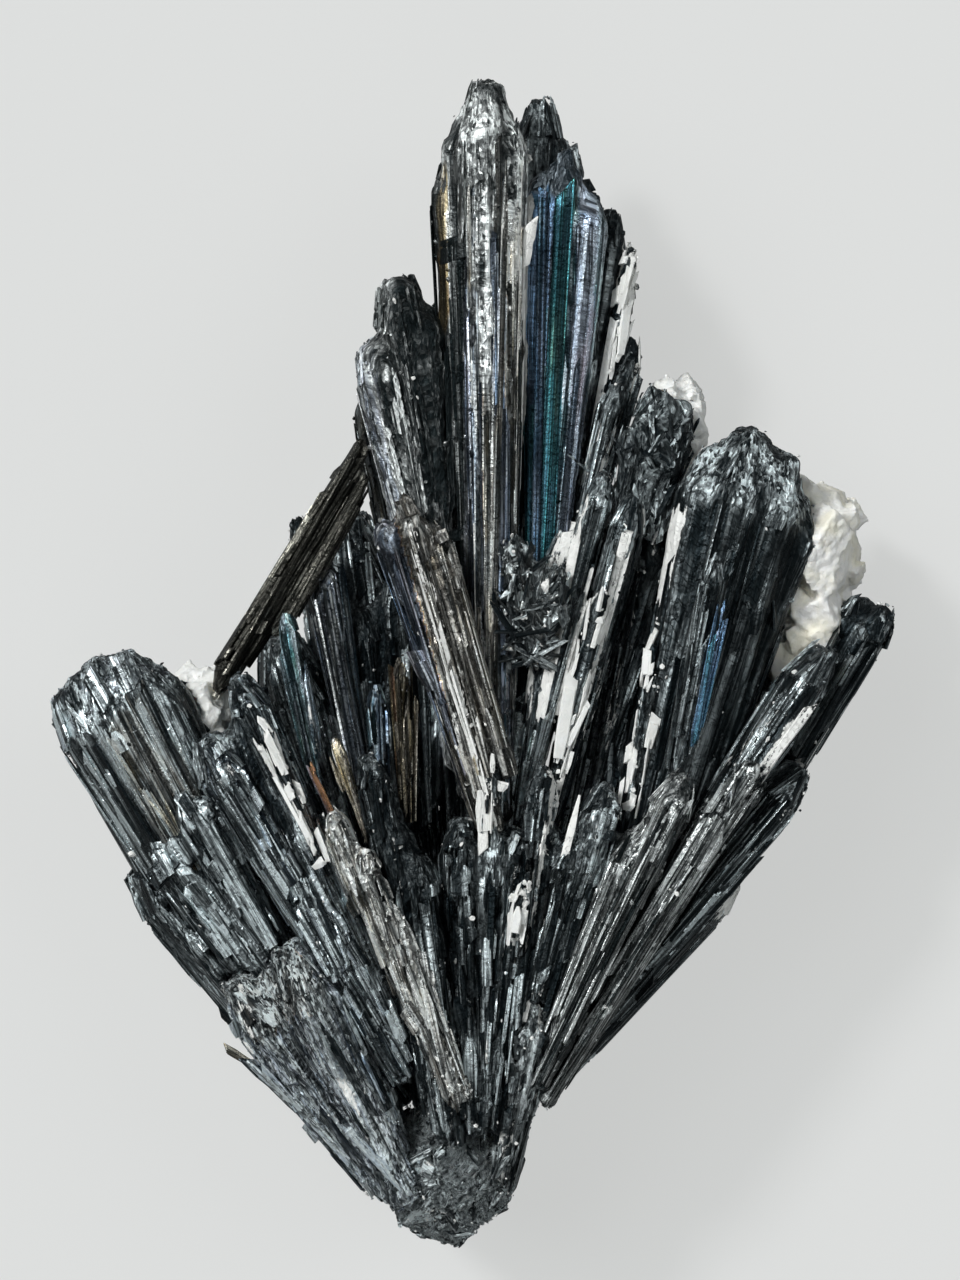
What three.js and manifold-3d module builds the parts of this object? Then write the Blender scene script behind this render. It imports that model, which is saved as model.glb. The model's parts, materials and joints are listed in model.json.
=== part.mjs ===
/**
 * A stibnite crystal spray with calcite, lying on its back.
 *
 * The specimen is a fan of bladed, lengthwise-striated stibnite prisms that radiate from a blunt
 * root to a tall crown, with white calcite between and behind the blades. It rests on the floor
 * plane Z = 0 on its broken back. +Y runs from the root to the crown, +X to the right of the show
 * face, and +Z out of the show face. Units are millimetres.
 *
 * Every crystal is one tapering six-sided prism. Crystals that have grown into each other are joined
 * in one solid, a bundle, and a bundle keeps a hair of clearance to the bundles placed before it.
 */
import * as THREE from "three";
import { mergeVertices } from "three/addons/utils/BufferGeometryUtils.js";
import Module from "manifold-3d";

const wasm = await Module();
wasm.setup();

// ---- Driving dimensions, mm ----
const CLEARANCE = 0.3; // left between two neighbouring bundles
const FLOOR = 0; // height of the plane that the back is broken off along
const PRISM_SIDES = 6;
const FOOT_SHARE = 0.62; // width of a crystal at its foot, as a share of its full width
const TIP_SHARE = 0.5; // width of the blunt end of a crystal, as a share of its full width
const TIP_SLOPE = 0.8; // length of the tapering end, as a share of the crystal's width
const SMALLEST_BODY = 4; // mm3, a chip under this is dropped when a neighbour cuts it off
const SLIVER = 0.1; // steps smaller than this are smoothed over after a cut

// ---- Colours of the finishes ----
const FINISHES = {
  stibnite_steel: { color: 0x3c4146, roughness: 0.34, metalness: 0.9 },
  stibnite_silver: { color: 0x8d9196, roughness: 0.3, metalness: 0.9 },
  stibnite_blue: { color: 0x33506b, roughness: 0.28, metalness: 0.9 },
  stibnite_bronze: { color: 0x77694a, roughness: 0.3, metalness: 0.9 },
  stibnite_massive: { color: 0x55585a, roughness: 0.6, metalness: 0.6 },
  calcite_white: { color: 0xe4e3de, roughness: 0.6, metalness: 0 },
  calcite_cream: { color: 0xe3dcc0, roughness: 0.55, metalness: 0 },
};

// ---- Solids ----

/** A closed three.js geometry as a solid, with its shared vertices merged and its empty faces dropped. */
function solidOf(geometry) {
  const bare = geometry.index ? geometry.toNonIndexed() : geometry.clone();
  bare.deleteAttribute("normal");
  bare.deleteAttribute("uv");
  const merged = mergeVertices(bare, 1e-3);
  const corners = [];
  for (let i = 0; i < merged.index.count; i += 3) {
    const [a, b, c] = [0, 1, 2].map((k) => merged.index.getX(i + k));
    if (a !== b && b !== c && c !== a) corners.push(a, b, c);
  }
  const vertProperties = merged.attributes.position.array;
  return new wasm.Manifold(new wasm.Mesh({ numProp: 3, vertProperties, triVerts: new Uint32Array(corners) }));
}

/** A solid as a three.js geometry. */
function geometryOf(solid) {
  const mesh = solid.getMesh();
  const geometry = new THREE.BufferGeometry();
  geometry.setAttribute("position", new THREE.BufferAttribute(mesh.vertProperties, 3));
  geometry.setIndex(new THREE.BufferAttribute(mesh.triVerts, 1));
  geometry.computeVertexNormals();
  return geometry;
}

/** The largest single body of a solid that its neighbours may have cut into several. */
function largestBody(solid, name) {
  const bodies = solid.decompose().filter((body) => body.volume() > SMALLEST_BODY);
  if (bodies.length === 0) throw new Error(`${name} is wholly inside its neighbours`);
  return bodies.sort((a, b) => b.volume() - a.volume())[0];
}

/** A matrix that stands the local Y axis along foot to tip, with local Z as near to +Z as it can be, turned by roll. */
function placement(foot, tip, roll) {
  const along = tip.clone().sub(foot).normalize();
  const side = new THREE.Vector3().crossVectors(along, new THREE.Vector3(0, 0, 1)).normalize();
  const out = new THREE.Vector3().crossVectors(side, along);
  const turn = new THREE.Matrix4().makeRotationY(THREE.MathUtils.degToRad(roll));
  return new THREE.Matrix4().makeBasis(side, along, out).multiply(turn).setPosition(foot);
}

/**
 * One crystal: [foot, tip, width, depth, roll]. Foot and tip are points on its axis, width is across
 * the broad face, depth from the broad face to the back, and roll turns it about its axis in degrees.
 */
function crystal([footAt, tipAt, width, depth, roll = 0], grow = 0) {
  const foot = new THREE.Vector3(...footAt);
  const tip = new THREE.Vector3(...tipAt);
  const length = foot.distanceTo(tip);
  const shoulder = length - Math.min(width * TIP_SLOPE, length / 3);
  const profile = [
    [0, -grow],
    [FOOT_SHARE, -grow],
    [1, shoulder],
    [TIP_SHARE, length + grow],
    [0, length + grow],
  ].map(([share, y]) => new THREE.Vector2(share && share + (2 * grow) / width, y));
  const prism = new THREE.LatheGeometry(profile, PRISM_SIDES, Math.PI / PRISM_SIDES);
  const narrow = (depth / 2 + grow) / (width / 2 + grow);
  prism.scale(width / 2, 1, (width / 2) * narrow);
  prism.applyMatrix4(placement(foot, tip, roll));
  return solidOf(prism);
}

/** A repeatable number from 0 to 1 for a point in space. */
function grain(point, seed) {
  const wave = Math.sin(point.x * 12.9898 + point.y * 78.233 + point.z * 37.719 + seed * 4.581);
  return Math.abs(wave * 43758.5453) % 1;
}

/**
 * One lump of grown-together mineral: [centre, radii, lean, seed]. The radii run across, along and
 * out of the fan before the lump leans sideways by lean degrees, and seed picks its corners.
 */
function lump([centre, radii, lean = 0, seed = 1], grow = 0) {
  const ROUGHNESS = 0.2;
  const rock = new THREE.IcosahedronGeometry(1, 1);
  const position = rock.attributes.position;
  const corner = new THREE.Vector3();
  for (let i = 0; i < position.count; i++) {
    corner.fromBufferAttribute(position, i);
    const rounded = corner.clone().multiplyScalar(50).round();
    corner.multiplyScalar(1 - ROUGHNESS * grain(rounded, seed));
    position.setXYZ(i, corner.x, corner.y, corner.z);
  }
  rock.scale(...radii.map((radius) => radius + 2 * grow));
  rock.rotateZ(THREE.MathUtils.degToRad(-lean));
  rock.translate(...centre);
  return solidOf(rock);
}

// ---- The bundles, in the order in which they claim their space ----
// Root masses and long front blades come first, then what stands behind them or on them.
const BUNDLES = [
  {
    name: "root_stump",
    finish: "stibnite_massive",
    lumps: [
      [[-5, -86, 25], [11, 14, 17], -14, 3],
      [[2, -83, 26], [8, 13, 17], 8, 5],
    ],
  },
  {
    name: "root_apron",
    finish: "stibnite_massive",
    crystals: [
      [[-9, -90, 36], [-31, -46, 41], 13, 13, 10],
      [[-14, -88, 33], [-40, -52, 37], 12, 14, 24],
    ],
  },
  {
    name: "root_shoulder",
    finish: "stibnite_massive",
    crystals: [
      [[5, -88, 36], [12, -55, 42], 8, 16, 0],
      [[6, -78, 30], [19, -55, 38], 9, 18, 10],
    ],
  },
  {
    name: "crown_spire",
    finish: "stibnite_silver",
    crystals: [
      [[4, -26, 35], [3, 100, 37], 11, 12, -14],
      [[2, -16, 33], [-0.5, 94, 35], 8, 12, -30],
      [[0, 2, 31], [-2.6, 86, 33], 6, 11, -40],
      [[6, -6, 34], [7.5, 93, 36], 6, 10, 8],
    ],
  },
  {
    name: "diagonal_ribs",
    finish: "stibnite_silver",
    crystals: [
      [[5, -27, 43], [-11, 30, 43], 4.5, 7, 10],
      [[3, -29, 43], [-14.5, 25, 41], 4, 7, 14],
      [[7, -18, 42], [-6, 25, 42], 4, 6, 0],
      [[1, -28, 39], [-15, 11, 38.5], 5, 6, 0],
    ],
  },
  {
    name: "left_shoulder",
    finish: "stibnite_silver",
    crystals: [
      [[3, -22, 33], [-12, 67, 34], 11, 11, 16],
      [[1, -18, 32], [-17.5, 56, 31], 8, 10, 26],
      [[4, -6, 32], [-6.5, 62, 33], 7, 10, 8],
    ],
  },
  {
    name: "crown_sail",
    finish: "stibnite_blue",
    crystals: [
      [[11, 2, 32], [12, 84, 32], 8, 6, 6],
      [[12, 4, 32], [16.5, 89, 32], 8, 6, 6],
      [[14, 8, 32], [21.5, 82, 32], 8, 6, 6],
    ],
  },
  {
    name: "crown_peak",
    finish: "stibnite_steel",
    crystals: [
      [[9, 14, 23], [12, 98.5, 24], 8, 10, 0],
      [[13, 24, 22], [16.5, 91, 23], 7, 10, 10],
    ],
  },
  {
    name: "crown_flank",
    finish: "stibnite_steel",
    crystals: [
      [[15, 14, 24], [24.5, 79, 25], 7, 10, 20],
      [[19, 20, 22], [26.5, 69, 22], 5, 9, 30],
    ],
  },
  {
    name: "crown_fringe",
    finish: "stibnite_steel",
    crystals: [
      [[12, -4, 32], [25, 49, 32], 4, 6, 20],
      [[16, 6, 30], [28, 54, 29], 3.6, 4, 14],
    ],
  },
  {
    name: "left_back_prism",
    finish: "stibnite_steel",
    crystals: [
      [[1, 4, 23], [-6, 68, 24], 8, 9, 12],
      [[-7, -10, 20], [-18.5, 47, 22], 5, 8, 0],
      [[-4, -6, 19], [-13, 53, 20], 8, 9, 20],
    ],
  },
  {
    name: "heart_rubble",
    finish: "stibnite_massive",
    crystals: [
      [[9, 2, 38], [8, 23, 41], 7, 6, 20],
      [[10, 1, 37], [16, 18, 39], 7, 6, 10],
    ],
  },
  {
    name: "center_spine",
    finish: "stibnite_steel",
    crystals: [
      [[1, -78, 41], [-1.5, -25, 41], 6, 15, 0],
      [[2, -78, 41], [3.5, -13, 40], 5, 14, 6],
      [[3, -78, 41], [8.5, -27, 40], 6, 15, 12],
    ],
  },
  {
    name: "center_left",
    finish: "stibnite_steel",
    crystals: [
      [[-4, -78, 41], [-17, -14, 39], 6, 15, 8],
      [[-4, -78, 41], [-13, -24, 40], 6, 15, -6],
      [[-2, -80, 42], [-8.5, -31, 41], 6, 15, -6],
    ],
  },
  {
    name: "center_right",
    finish: "stibnite_steel",
    crystals: [
      [[6, -78, 42], [13, -16, 40], 5, 15, 0],
      [[6, -78, 41], [17.5, -28, 41], 6, 15, 6],
      [[7, -76, 42], [23, -19, 41], 6, 14, 14],
    ],
  },
  {
    name: "left_ridge",
    finish: "stibnite_silver",
    crystals: [
      [[-3, -80, 49], [-24, -36, 46], 4.5, 8, 8],
      [[-2, -74, 48], [-17, -30, 46], 3.5, 7, -10],
      [[0, -72, 47], [-12.5, -38, 45], 3.5, 7, 0],
      [[-4, -70, 46], [-23, -23, 43], 4, 7, -6],
    ],
  },
  {
    name: "left_horn",
    finish: "stibnite_steel",
    crystals: [
      [[-45, -44, 30], [-69, -3, 34], 11, 15, 20],
      [[-41, -42, 32], [-64.5, 1.5, 35], 12, 16, 0],
      [[-39, -38, 32], [-59, 3.5, 35], 8, 15, 0],
      [[-36, -36, 31], [-54, 1, 34], 9, 14, -10],
    ],
  },
  {
    name: "horn_skirt",
    finish: "stibnite_steel",
    crystals: [
      [[-44, -54, 23], [-67, -12, 24], 6, 10, 10],
      [[-38, -54, 23], [-59, -22, 24], 9, 12, 0],
    ],
  },
  {
    name: "left_flank_inner",
    finish: "stibnite_steel",
    crystals: [
      [[-11, -70, 38], [-45, -11, 38], 9, 17, 6],
      [[-10, -66, 38], [-39.5, -1, 37], 7, 16, -8],
    ],
  },
  {
    name: "left_flank_middle",
    finish: "stibnite_steel",
    crystals: [
      [[-16, -76, 34], [-51, -18, 34], 10, 19, 12],
      [[-20, -74, 32], [-54, -28, 33], 9, 18, 0],
    ],
  },
  {
    name: "left_flank_outer",
    finish: "stibnite_steel",
    crystals: [
      [[-13, -90, 25], [-57, -34, 26], 9, 18, 16],
      [[-12, -84, 28], [-49, -38, 29], 12, 18, 0],
    ],
  },
  {
    name: "right_shoulder",
    finish: "stibnite_steel",
    crystals: [
      [[26, -36, 34], [42, 38, 34], 11, 17, 0],
      [[28, -38, 35], [48, 41, 35], 12, 18, 6],
      [[32, -36, 34], [54, 37, 34], 11, 18, 12],
      [[37, -30, 32], [57, 29, 31], 9, 16, 16],
    ],
  },
  {
    name: "right_step",
    finish: "stibnite_steel",
    crystals: [
      [[30, -42, 40], [61, 4, 37], 9, 14, 10],
      [[29, -36, 43], [55, 12, 43], 6, 9, 0],
    ],
  },
  {
    name: "right_fan_inner",
    finish: "stibnite_silver",
    crystals: [
      [[11, -68, 42], [28, -27, 41], 7, 16, 0],
      [[11, -70, 43], [37, -17, 43], 8, 16, 8],
    ],
  },
  {
    name: "right_fan_middle",
    finish: "stibnite_silver",
    crystals: [
      [[12, -73, 39], [44.5, -19, 40], 8, 18, 0],
      [[12, -73, 37], [51, -11, 38], 8, 18, 0],
    ],
  },
  {
    name: "right_fan_outer",
    finish: "stibnite_steel",
    crystals: [
      [[10, -72, 31], [56.5, -16, 32], 8, 20, 20],
      [[12, -73, 25], [46, -34, 27], 8, 18, 0],
    ],
  },
  {
    name: "right_horn",
    finish: "stibnite_steel",
    crystals: [
      [[40, -42, 26], [71, 11, 29], 7, 13, 12],
      [[42, -34, 25], [67, 13, 28], 5, 10, 0],
    ],
  },
  {
    name: "right_tangle",
    finish: "stibnite_steel",
    crystals: [
      [[25, 18, 33], [27.5, 42, 34], 5, 6, 10],
      [[27, 22, 32], [32, 49, 31], 7, 9, 30],
      [[31, 22, 30], [37, 46, 30], 7, 9, -20],
      [[24, 38, 31], [36, 34, 35], 5, 6, 0],
    ],
  },
  {
    name: "right_blade_near",
    finish: "stibnite_steel",
    crystals: [
      [[9, -27, 35], [23, 34, 35], 6, 9, 12],
      [[9, -24, 34], [16, 24, 34], 5, 8, 0],
    ],
  },
  {
    name: "right_blade_middle",
    finish: "stibnite_steel",
    crystals: [
      [[13, -28, 36], [28, 30, 37], 7, 9, 6],
      [[18, -28, 34], [34, 21, 35], 6, 8, 0],
    ],
  },
  {
    name: "right_blade_far",
    finish: "stibnite_steel",
    crystals: [[[22, -28, 30], [35, 28, 30], 8, 10, 0]],
  },
  {
    name: "flat_rod",
    finish: "stibnite_steel",
    crystals: [[[33.5, -24, 46], [41.5, 19.5, 47], 5, 4, 4]],
  },
  {
    name: "blue_rod",
    finish: "stibnite_blue",
    crystals: [[[37.5, -14, 49.5], [43, 13, 49.5], 2.8, 2.2, 10]],
  },
  {
    name: "pocket_wall",
    finish: "stibnite_steel",
    crystals: [
      [[-9, -28, 23], [-13, 18, 23], 8, 9, 0],
      [[-14, -28, 24], [-19, 11, 24], 7, 8, 0],
    ],
  },
  {
    name: "cross_blade",
    finish: "stibnite_bronze",
    crystals: [
      [[-16, 41, 30], [-43.5, -4.5, 32], 6, 6, 12],
      [[-17, 33, 29], [-33, 5, 30], 4, 5, 0],
    ],
  },
  {
    name: "knob_prism",
    finish: "stibnite_steel",
    crystals: [[[-24, 8, 22], [-30, 26.5, 22], 6, 7, 0]],
  },
  {
    name: "pocket_grey_blade",
    finish: "stibnite_silver",
    crystals: [[[-17, -26, 29], [-26, 21, 29], 7, 4, 24]],
  },
  {
    name: "pocket_teal_rod",
    finish: "stibnite_blue",
    crystals: [[[-25, -22, 33], [-31.5, 10.5, 34], 4.8, 4.8, 0]],
  },
  {
    name: "pocket_yellow_rod",
    finish: "stibnite_bronze",
    crystals: [[[-16.5, -31, 37], [-23, -10.5, 37], 3.8, 3.8, 0]],
  },
  {
    name: "pocket_orange_lath",
    finish: "stibnite_bronze",
    crystals: [[[-20.5, -30, 38], [-27.5, -13.5, 39], 2.4, 2, 0]],
  },
  {
    name: "pocket_rod_left",
    finish: "stibnite_steel",
    crystals: [[[-14.5, -26, 33], [-16, -2, 33], 3.6, 3.6, 0]],
  },
  {
    name: "pocket_rod_middle",
    finish: "stibnite_bronze",
    crystals: [[[-10.2, -26, 33], [-11.4, 3, 33], 3.6, 3.6, 15]],
  },
  {
    name: "pocket_rod_right",
    finish: "stibnite_steel",
    crystals: [[[-6, -26, 32], [-6.8, 3, 32], 3.4, 3.4, 0]],
  },
  {
    name: "stray_needle",
    finish: "stibnite_bronze",
    crystals: [[[-25, -75, 25], [-44, -64, 27], 2.2, 2, 0]],
  },
  {
    name: "calcite_block",
    finish: "calcite_cream",
    lumps: [
      [[60, 20, 22], [8, 14, 13], 4, 11],
      [[58, 7, 21], [10, 11, 11], 20, 9],
    ],
  },
  {
    name: "calcite_crown_rim",
    finish: "calcite_white",
    crystals: [
      [[21, 34, 28], [28, 73, 28], 4, 6, 20],
      [[24, 38, 26], [28.5, 57, 26], 5, 6, 0],
    ],
  },
  {
    name: "calcite_top",
    finish: "calcite_white",
    lumps: [[[34.5, 41, 22], [6, 9, 9], 10, 2]],
  },
  {
    name: "calcite_knob",
    finish: "calcite_white",
    lumps: [[[-46.5, -8, 25], [6.5, 8, 9], 0, 4]],
  },
  {
    name: "calcite_tail",
    finish: "calcite_white",
    crystals: [[[48, -28, 22], [64, 1, 22], 7, 9, 20]],
  },
  {
    name: "calcite_vein_near",
    finish: "calcite_white",
    crystals: [[[13.5, -23, 41], [22.5, 14, 42.5], 4, 3.6, 8]],
  },
  {
    name: "calcite_vein_far",
    finish: "calcite_white",
    crystals: [
      [[26.5, -27, 39], [33, 8, 38], 5, 6, 10],
      [[32, -4, 37], [39.5, 27, 38], 5, 6, 0],
    ],
  },
  {
    name: "calcite_vein_left",
    finish: "calcite_white",
    crystals: [[[-24, -33, 46.5], [-36, -7, 44.5], 4, 3.6, 0]],
  },
  {
    name: "calcite_chip",
    finish: "calcite_white",
    crystals: [[[8, -46, 49], [9, -35, 49], 4, 3, 0]],
  },
  {
    name: "back_fan_left",
    finish: "stibnite_steel",
    crystals: [
      [[-11, -76, 10], [-50, -24, 8], 16, 30, 0],
      [[-14, -60, 13], [-42, -10, 11], 14, 28, 10],
      [[-14, -58, 12], [-33, 6, 12], 15, 24, 0],
    ],
  },
  {
    name: "back_fan_inner_left",
    finish: "stibnite_steel",
    crystals: [
      [[-6, -76, 12], [-22, 27, 9], 20, 30, 0],
    ],
  },
  {
    name: "back_fan_center",
    finish: "stibnite_steel",
    crystals: [
      [[1, -78, 12], [-3, 60, 10], 15, 30, 0],
      [[4, -44, 12], [13, 74, 10], 19, 26, 8],
    ],
  },
  {
    name: "back_fan_inner_right",
    finish: "stibnite_steel",
    crystals: [
      [[9, -70, 12], [33, 36, 9], 17, 32, 0],
      [[13, -50, 12], [46, 30, 10], 15, 30, 6],
    ],
  },
  {
    name: "back_fan_right",
    finish: "stibnite_steel",
    crystals: [
      [[14, -62, 12], [54, 8, 9], 16, 32, 0],
      [[14, -64, 11], [52, -16, 9], 13, 28, 0],
    ],
  },
];

// ---- Assembly ----

/** All of a bundle's crystals and lumps as one solid, grown by the given margin. */
function joined(bundle, grow) {
  const solids = [
    ...(bundle.lumps ?? []).map((each) => lump(each, grow)),
    ...(bundle.crystals ?? []).map((each) => crystal(each, grow)),
  ];
  return solids.reduce((whole, each) => whole.add(each));
}

/** Whether the boxes around two solids meet. */
function boxesMeet(a, b) {
  const [first, second] = [a.boundingBox(), b.boundingBox()];
  return [0, 1, 2].every((axis) => first.min[axis] < second.max[axis] && second.min[axis] < first.max[axis]);
}

const AIR = new THREE.BoxGeometry(400, 400, 200).translate(0, 0, FLOOR + 100);

/** The bundles as named meshes: each is cut back from those placed before it and broken off at the floor. */
function grow() {
  const air = solidOf(AIR);
  const claimed = [];
  const meshes = [];
  for (const bundle of BUNDLES) {
    let solid = joined(bundle, 0).intersect(air);
    for (const taken of claimed) {
      if (boxesMeet(solid, taken)) solid = solid.subtract(taken);
    }
    claimed.push(joined(bundle, CLEARANCE));
    const mesh = new THREE.Mesh(
      geometryOf(largestBody(solid, bundle.name).simplify(SLIVER)),
      new THREE.MeshStandardMaterial({ ...FINISHES[bundle.finish], flatShading: true }),
    );
    mesh.name = bundle.name;
    meshes.push(mesh);
  }
  return meshes;
}

const spray = new THREE.Group();
spray.add(...grow());

// The origin is the middle of the specimen's box, on the floor.
const middle = new THREE.Box3().setFromObject(spray, true).getCenter(new THREE.Vector3());
spray.position.set(-middle.x, -middle.y, 0);

export default spray;
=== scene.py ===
"""Looks of a stibnite crystal spray with calcite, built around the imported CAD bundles.

Each CAD bundle is replaced by one piece: the bundle's own body, closed up, worn and carved along its
growth, with hundreds of laths, splinters and crumbs fused to it. These are copies of a few shapes that
are modelled once. Thick calcite is cleaved blocks, and thin calcite is torn plates. Lengths are in metres
unless a name or a comment says millimetres.
"""

import itertools
import json
import math

import bpy
import numpy as np
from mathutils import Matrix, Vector
from mathutils.bvhtree import BVHTree


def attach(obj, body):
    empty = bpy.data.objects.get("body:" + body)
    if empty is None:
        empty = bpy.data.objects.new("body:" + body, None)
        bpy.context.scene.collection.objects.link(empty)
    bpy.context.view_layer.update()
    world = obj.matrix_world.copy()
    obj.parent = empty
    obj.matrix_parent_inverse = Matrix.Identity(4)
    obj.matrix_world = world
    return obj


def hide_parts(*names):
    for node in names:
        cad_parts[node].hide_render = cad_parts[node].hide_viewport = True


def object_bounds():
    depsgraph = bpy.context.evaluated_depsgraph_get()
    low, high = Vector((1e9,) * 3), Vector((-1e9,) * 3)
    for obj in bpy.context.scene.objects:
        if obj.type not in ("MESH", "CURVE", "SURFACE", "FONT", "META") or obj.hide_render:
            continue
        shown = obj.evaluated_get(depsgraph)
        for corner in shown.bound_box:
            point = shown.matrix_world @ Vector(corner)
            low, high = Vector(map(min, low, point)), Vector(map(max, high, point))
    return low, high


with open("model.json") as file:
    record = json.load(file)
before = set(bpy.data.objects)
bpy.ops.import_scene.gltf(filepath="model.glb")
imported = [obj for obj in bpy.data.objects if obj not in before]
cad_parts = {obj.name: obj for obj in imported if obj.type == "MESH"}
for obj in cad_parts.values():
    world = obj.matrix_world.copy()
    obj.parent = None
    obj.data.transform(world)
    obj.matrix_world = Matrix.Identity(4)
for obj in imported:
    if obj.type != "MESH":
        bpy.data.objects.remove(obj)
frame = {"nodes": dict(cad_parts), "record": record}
CAD_LOW, CAD_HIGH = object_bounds()

MM = 0.001
END_SPAN = 1.6  # length of a lath's shaped end, in lath widths
HIDDEN_GAP = 1.1 * MM  # a surface closer than this to its neighbour carries no laths
BODY_CELL = 0.55 * MM  # size of the cells a body is remeshed in
ROUGH_CELL = 1.5 * BODY_CELL  # the same while its gaps are closed and its corners worn
BLOCK_CELL = 0.4 * MM  # the same for a calcite block
BROKEN_END = (2 * MM, 9 * MM)  # from an end, the surface is broken up to the first, sound past the second
LOWEST_START = 0.4 * MM  # no lath or crumb starts nearer the floor than this
TONES = (0.02, 2.5)  # darkest and brightest tone of bodies and laths
CRUMB_TONES = (0.05, 1.5)
STEEPEST = 0.75  # how far growth may point out of the skin where a lath lies, as a cosine
UNDERSIDE = -0.98  # skin that faces down more than this carries no laths
SHORTEST = 1.2 * MM  # length of the shortest lath
LEAST_ROOM = 2 * MM  # no lath goes where a crystal is shorter than this
SMOOTH_ANGLE = math.radians(32)  # edges flatter than this are shaded smooth


# ---- Working by hand: selecting, editing and finishing ----


def deselect_all():
    if bpy.context.object and bpy.context.object.mode != "OBJECT":
        bpy.ops.object.mode_set(mode="OBJECT")
    bpy.ops.object.select_all(action="DESELECT")


def pick(obj):
    """Makes obj the only selected object, and the active one."""
    deselect_all()
    obj.select_set(True)
    bpy.context.view_layer.objects.active = obj


def edit(obj, wanted, operator, **settings):
    """Runs an edit-mode operator on the vertices of obj for which wanted(co) is true."""
    pick(obj)
    bpy.ops.object.mode_set(mode="EDIT")
    bpy.ops.mesh.select_mode(type="VERT")
    bpy.ops.mesh.select_all(action="DESELECT")
    bpy.ops.object.mode_set(mode="OBJECT")
    for vertex in obj.data.vertices:
        vertex.select = bool(wanted(vertex.co))
    bpy.ops.object.mode_set(mode="EDIT")
    operator(**settings)
    bpy.ops.object.mode_set(mode="OBJECT")


def everywhere(_co):
    """Picks every vertex in edit."""
    return True


def apply_modifier(obj, kind, **settings):
    """Adds a modifier with the given settings and applies it."""
    pick(obj)
    modifier = obj.modifiers.new(kind.title(), kind)
    for key, value in settings.items():
        setattr(modifier, key, value)
    bpy.ops.object.modifier_apply(modifier=modifier.name)


def discard(obj):
    bpy.data.meshes.remove(obj.data)


# ---- The small shapes, each modelled once, along X from 0 to 1 ----


def bar(name, sides, cuts):
    """A flat-topped bar with the given number of sides, cut across at each place in cuts."""
    deselect_all()
    quarter = math.pi / 2
    bpy.ops.mesh.primitive_cylinder_add(
        vertices=sides, radius=0.5, depth=1.0, location=(0.5, 0, 0), rotation=(0, quarter, 0)
    )
    obj = bpy.context.object
    obj.name = name
    bpy.ops.object.transform_apply(location=True, rotation=True, scale=True)
    squeeze(obj, lambda co: abs(co.z) > 0.2, (1, 1.5, 1), (0.5, 0, 0))
    for cut in cuts:
        edit(obj, everywhere, bpy.ops.mesh.bisect, plane_co=(cut, 0, 0), plane_no=(1, 0, 0))
    return obj


def shift(obj, wanted, offset):
    edit(obj, wanted, bpy.ops.transform.translate, value=offset)


def squeeze(obj, wanted, factor, centre):
    """Scales the wanted vertices about a centre."""
    edit(obj, wanted, bpy.ops.transform.resize, value=factor, center_override=centre)


def model_lath():
    """A flat lath with obliquely broken ends and a slight waist."""
    obj = bar("lath", 6, (0.25, 0.55, 0.75))
    shift(obj, lambda co: co.x > 0.99 and co.y > 0.1, (-0.16, 0, 0))
    shift(obj, lambda co: co.x > 0.99 and co.z > 0.1, (-0.05, 0, 0))
    shift(obj, lambda co: co.x < 0.01 and co.y < -0.1, (0.12, 0, 0))
    squeeze(obj, lambda co: 0.5 < co.x < 0.6, (1, 0.86, 0.9), (0.55, 0.06, 0))
    squeeze(obj, lambda co: co.x > 0.99, (1, 0.8, 0.7), (1, 0, -0.1))
    return obj


def model_step():
    """A lath whose upper half breaks off before its lower half."""
    obj = bar("step", 6, (0.25, 0.8, 0.84))
    shift(obj, lambda co: co.x > 0.83 and co.z > 0.1, (0, 0, -0.42))
    shift(obj, lambda co: 0.79 < co.x < 0.83 and co.y > 0.1, (0.03, 0, 0))
    shift(obj, lambda co: co.x > 0.99 and co.y < -0.1, (-0.07, 0, 0))
    squeeze(obj, lambda co: co.x < 0.01, (1, 0.75, 0.7), (0, 0.1, -0.1))
    return obj


def model_splinter():
    """A splinter that tapers to one side."""
    obj = bar("splinter", 6, (0.25, 0.75))
    squeeze(obj, lambda co: co.x > 0.99, (1, 0.16, 0.3), (1, -0.35, -0.2))
    squeeze(obj, lambda co: 0.7 < co.x < 0.8, (1, 0.72, 0.86), (0.75, -0.2, -0.1))
    squeeze(obj, lambda co: co.x < 0.01, (1, 0.6, 0.6), (0, 0.2, -0.2))
    return obj


def model_chisel():
    """A prism with a roof-shaped end."""
    obj = bar("chisel", 6, (0.25, 0.8))
    squeeze(obj, lambda co: co.x > 0.99, (1, 0.3, 0.75), (1, 0.04, -0.15))
    squeeze(obj, lambda co: co.x < 0.01, (1, 0.8, 0.8), (0, 0, -0.1))
    return obj


def model_needle():
    """A thin four-sided needle."""
    obj = bar("needle", 4, (0.7,))
    squeeze(obj, lambda co: co.x > 0.99, (1, 0.3, 0.3), (1, 0.1, 0))
    return obj


def model_crumb(seed):
    """An angular crumb about one unit across."""
    deselect_all()
    bpy.ops.mesh.primitive_ico_sphere_add(subdivisions=1, radius=0.5)
    obj = bpy.context.object
    obj.name = f"crumb_{seed}"
    edit(obj, everywhere, bpy.ops.transform.vertex_random, offset=0.22, seed=seed)
    squeeze(obj, lambda co: co.z < 0, (1, 1, 0.6), (0, 0, 0))
    return obj


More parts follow.
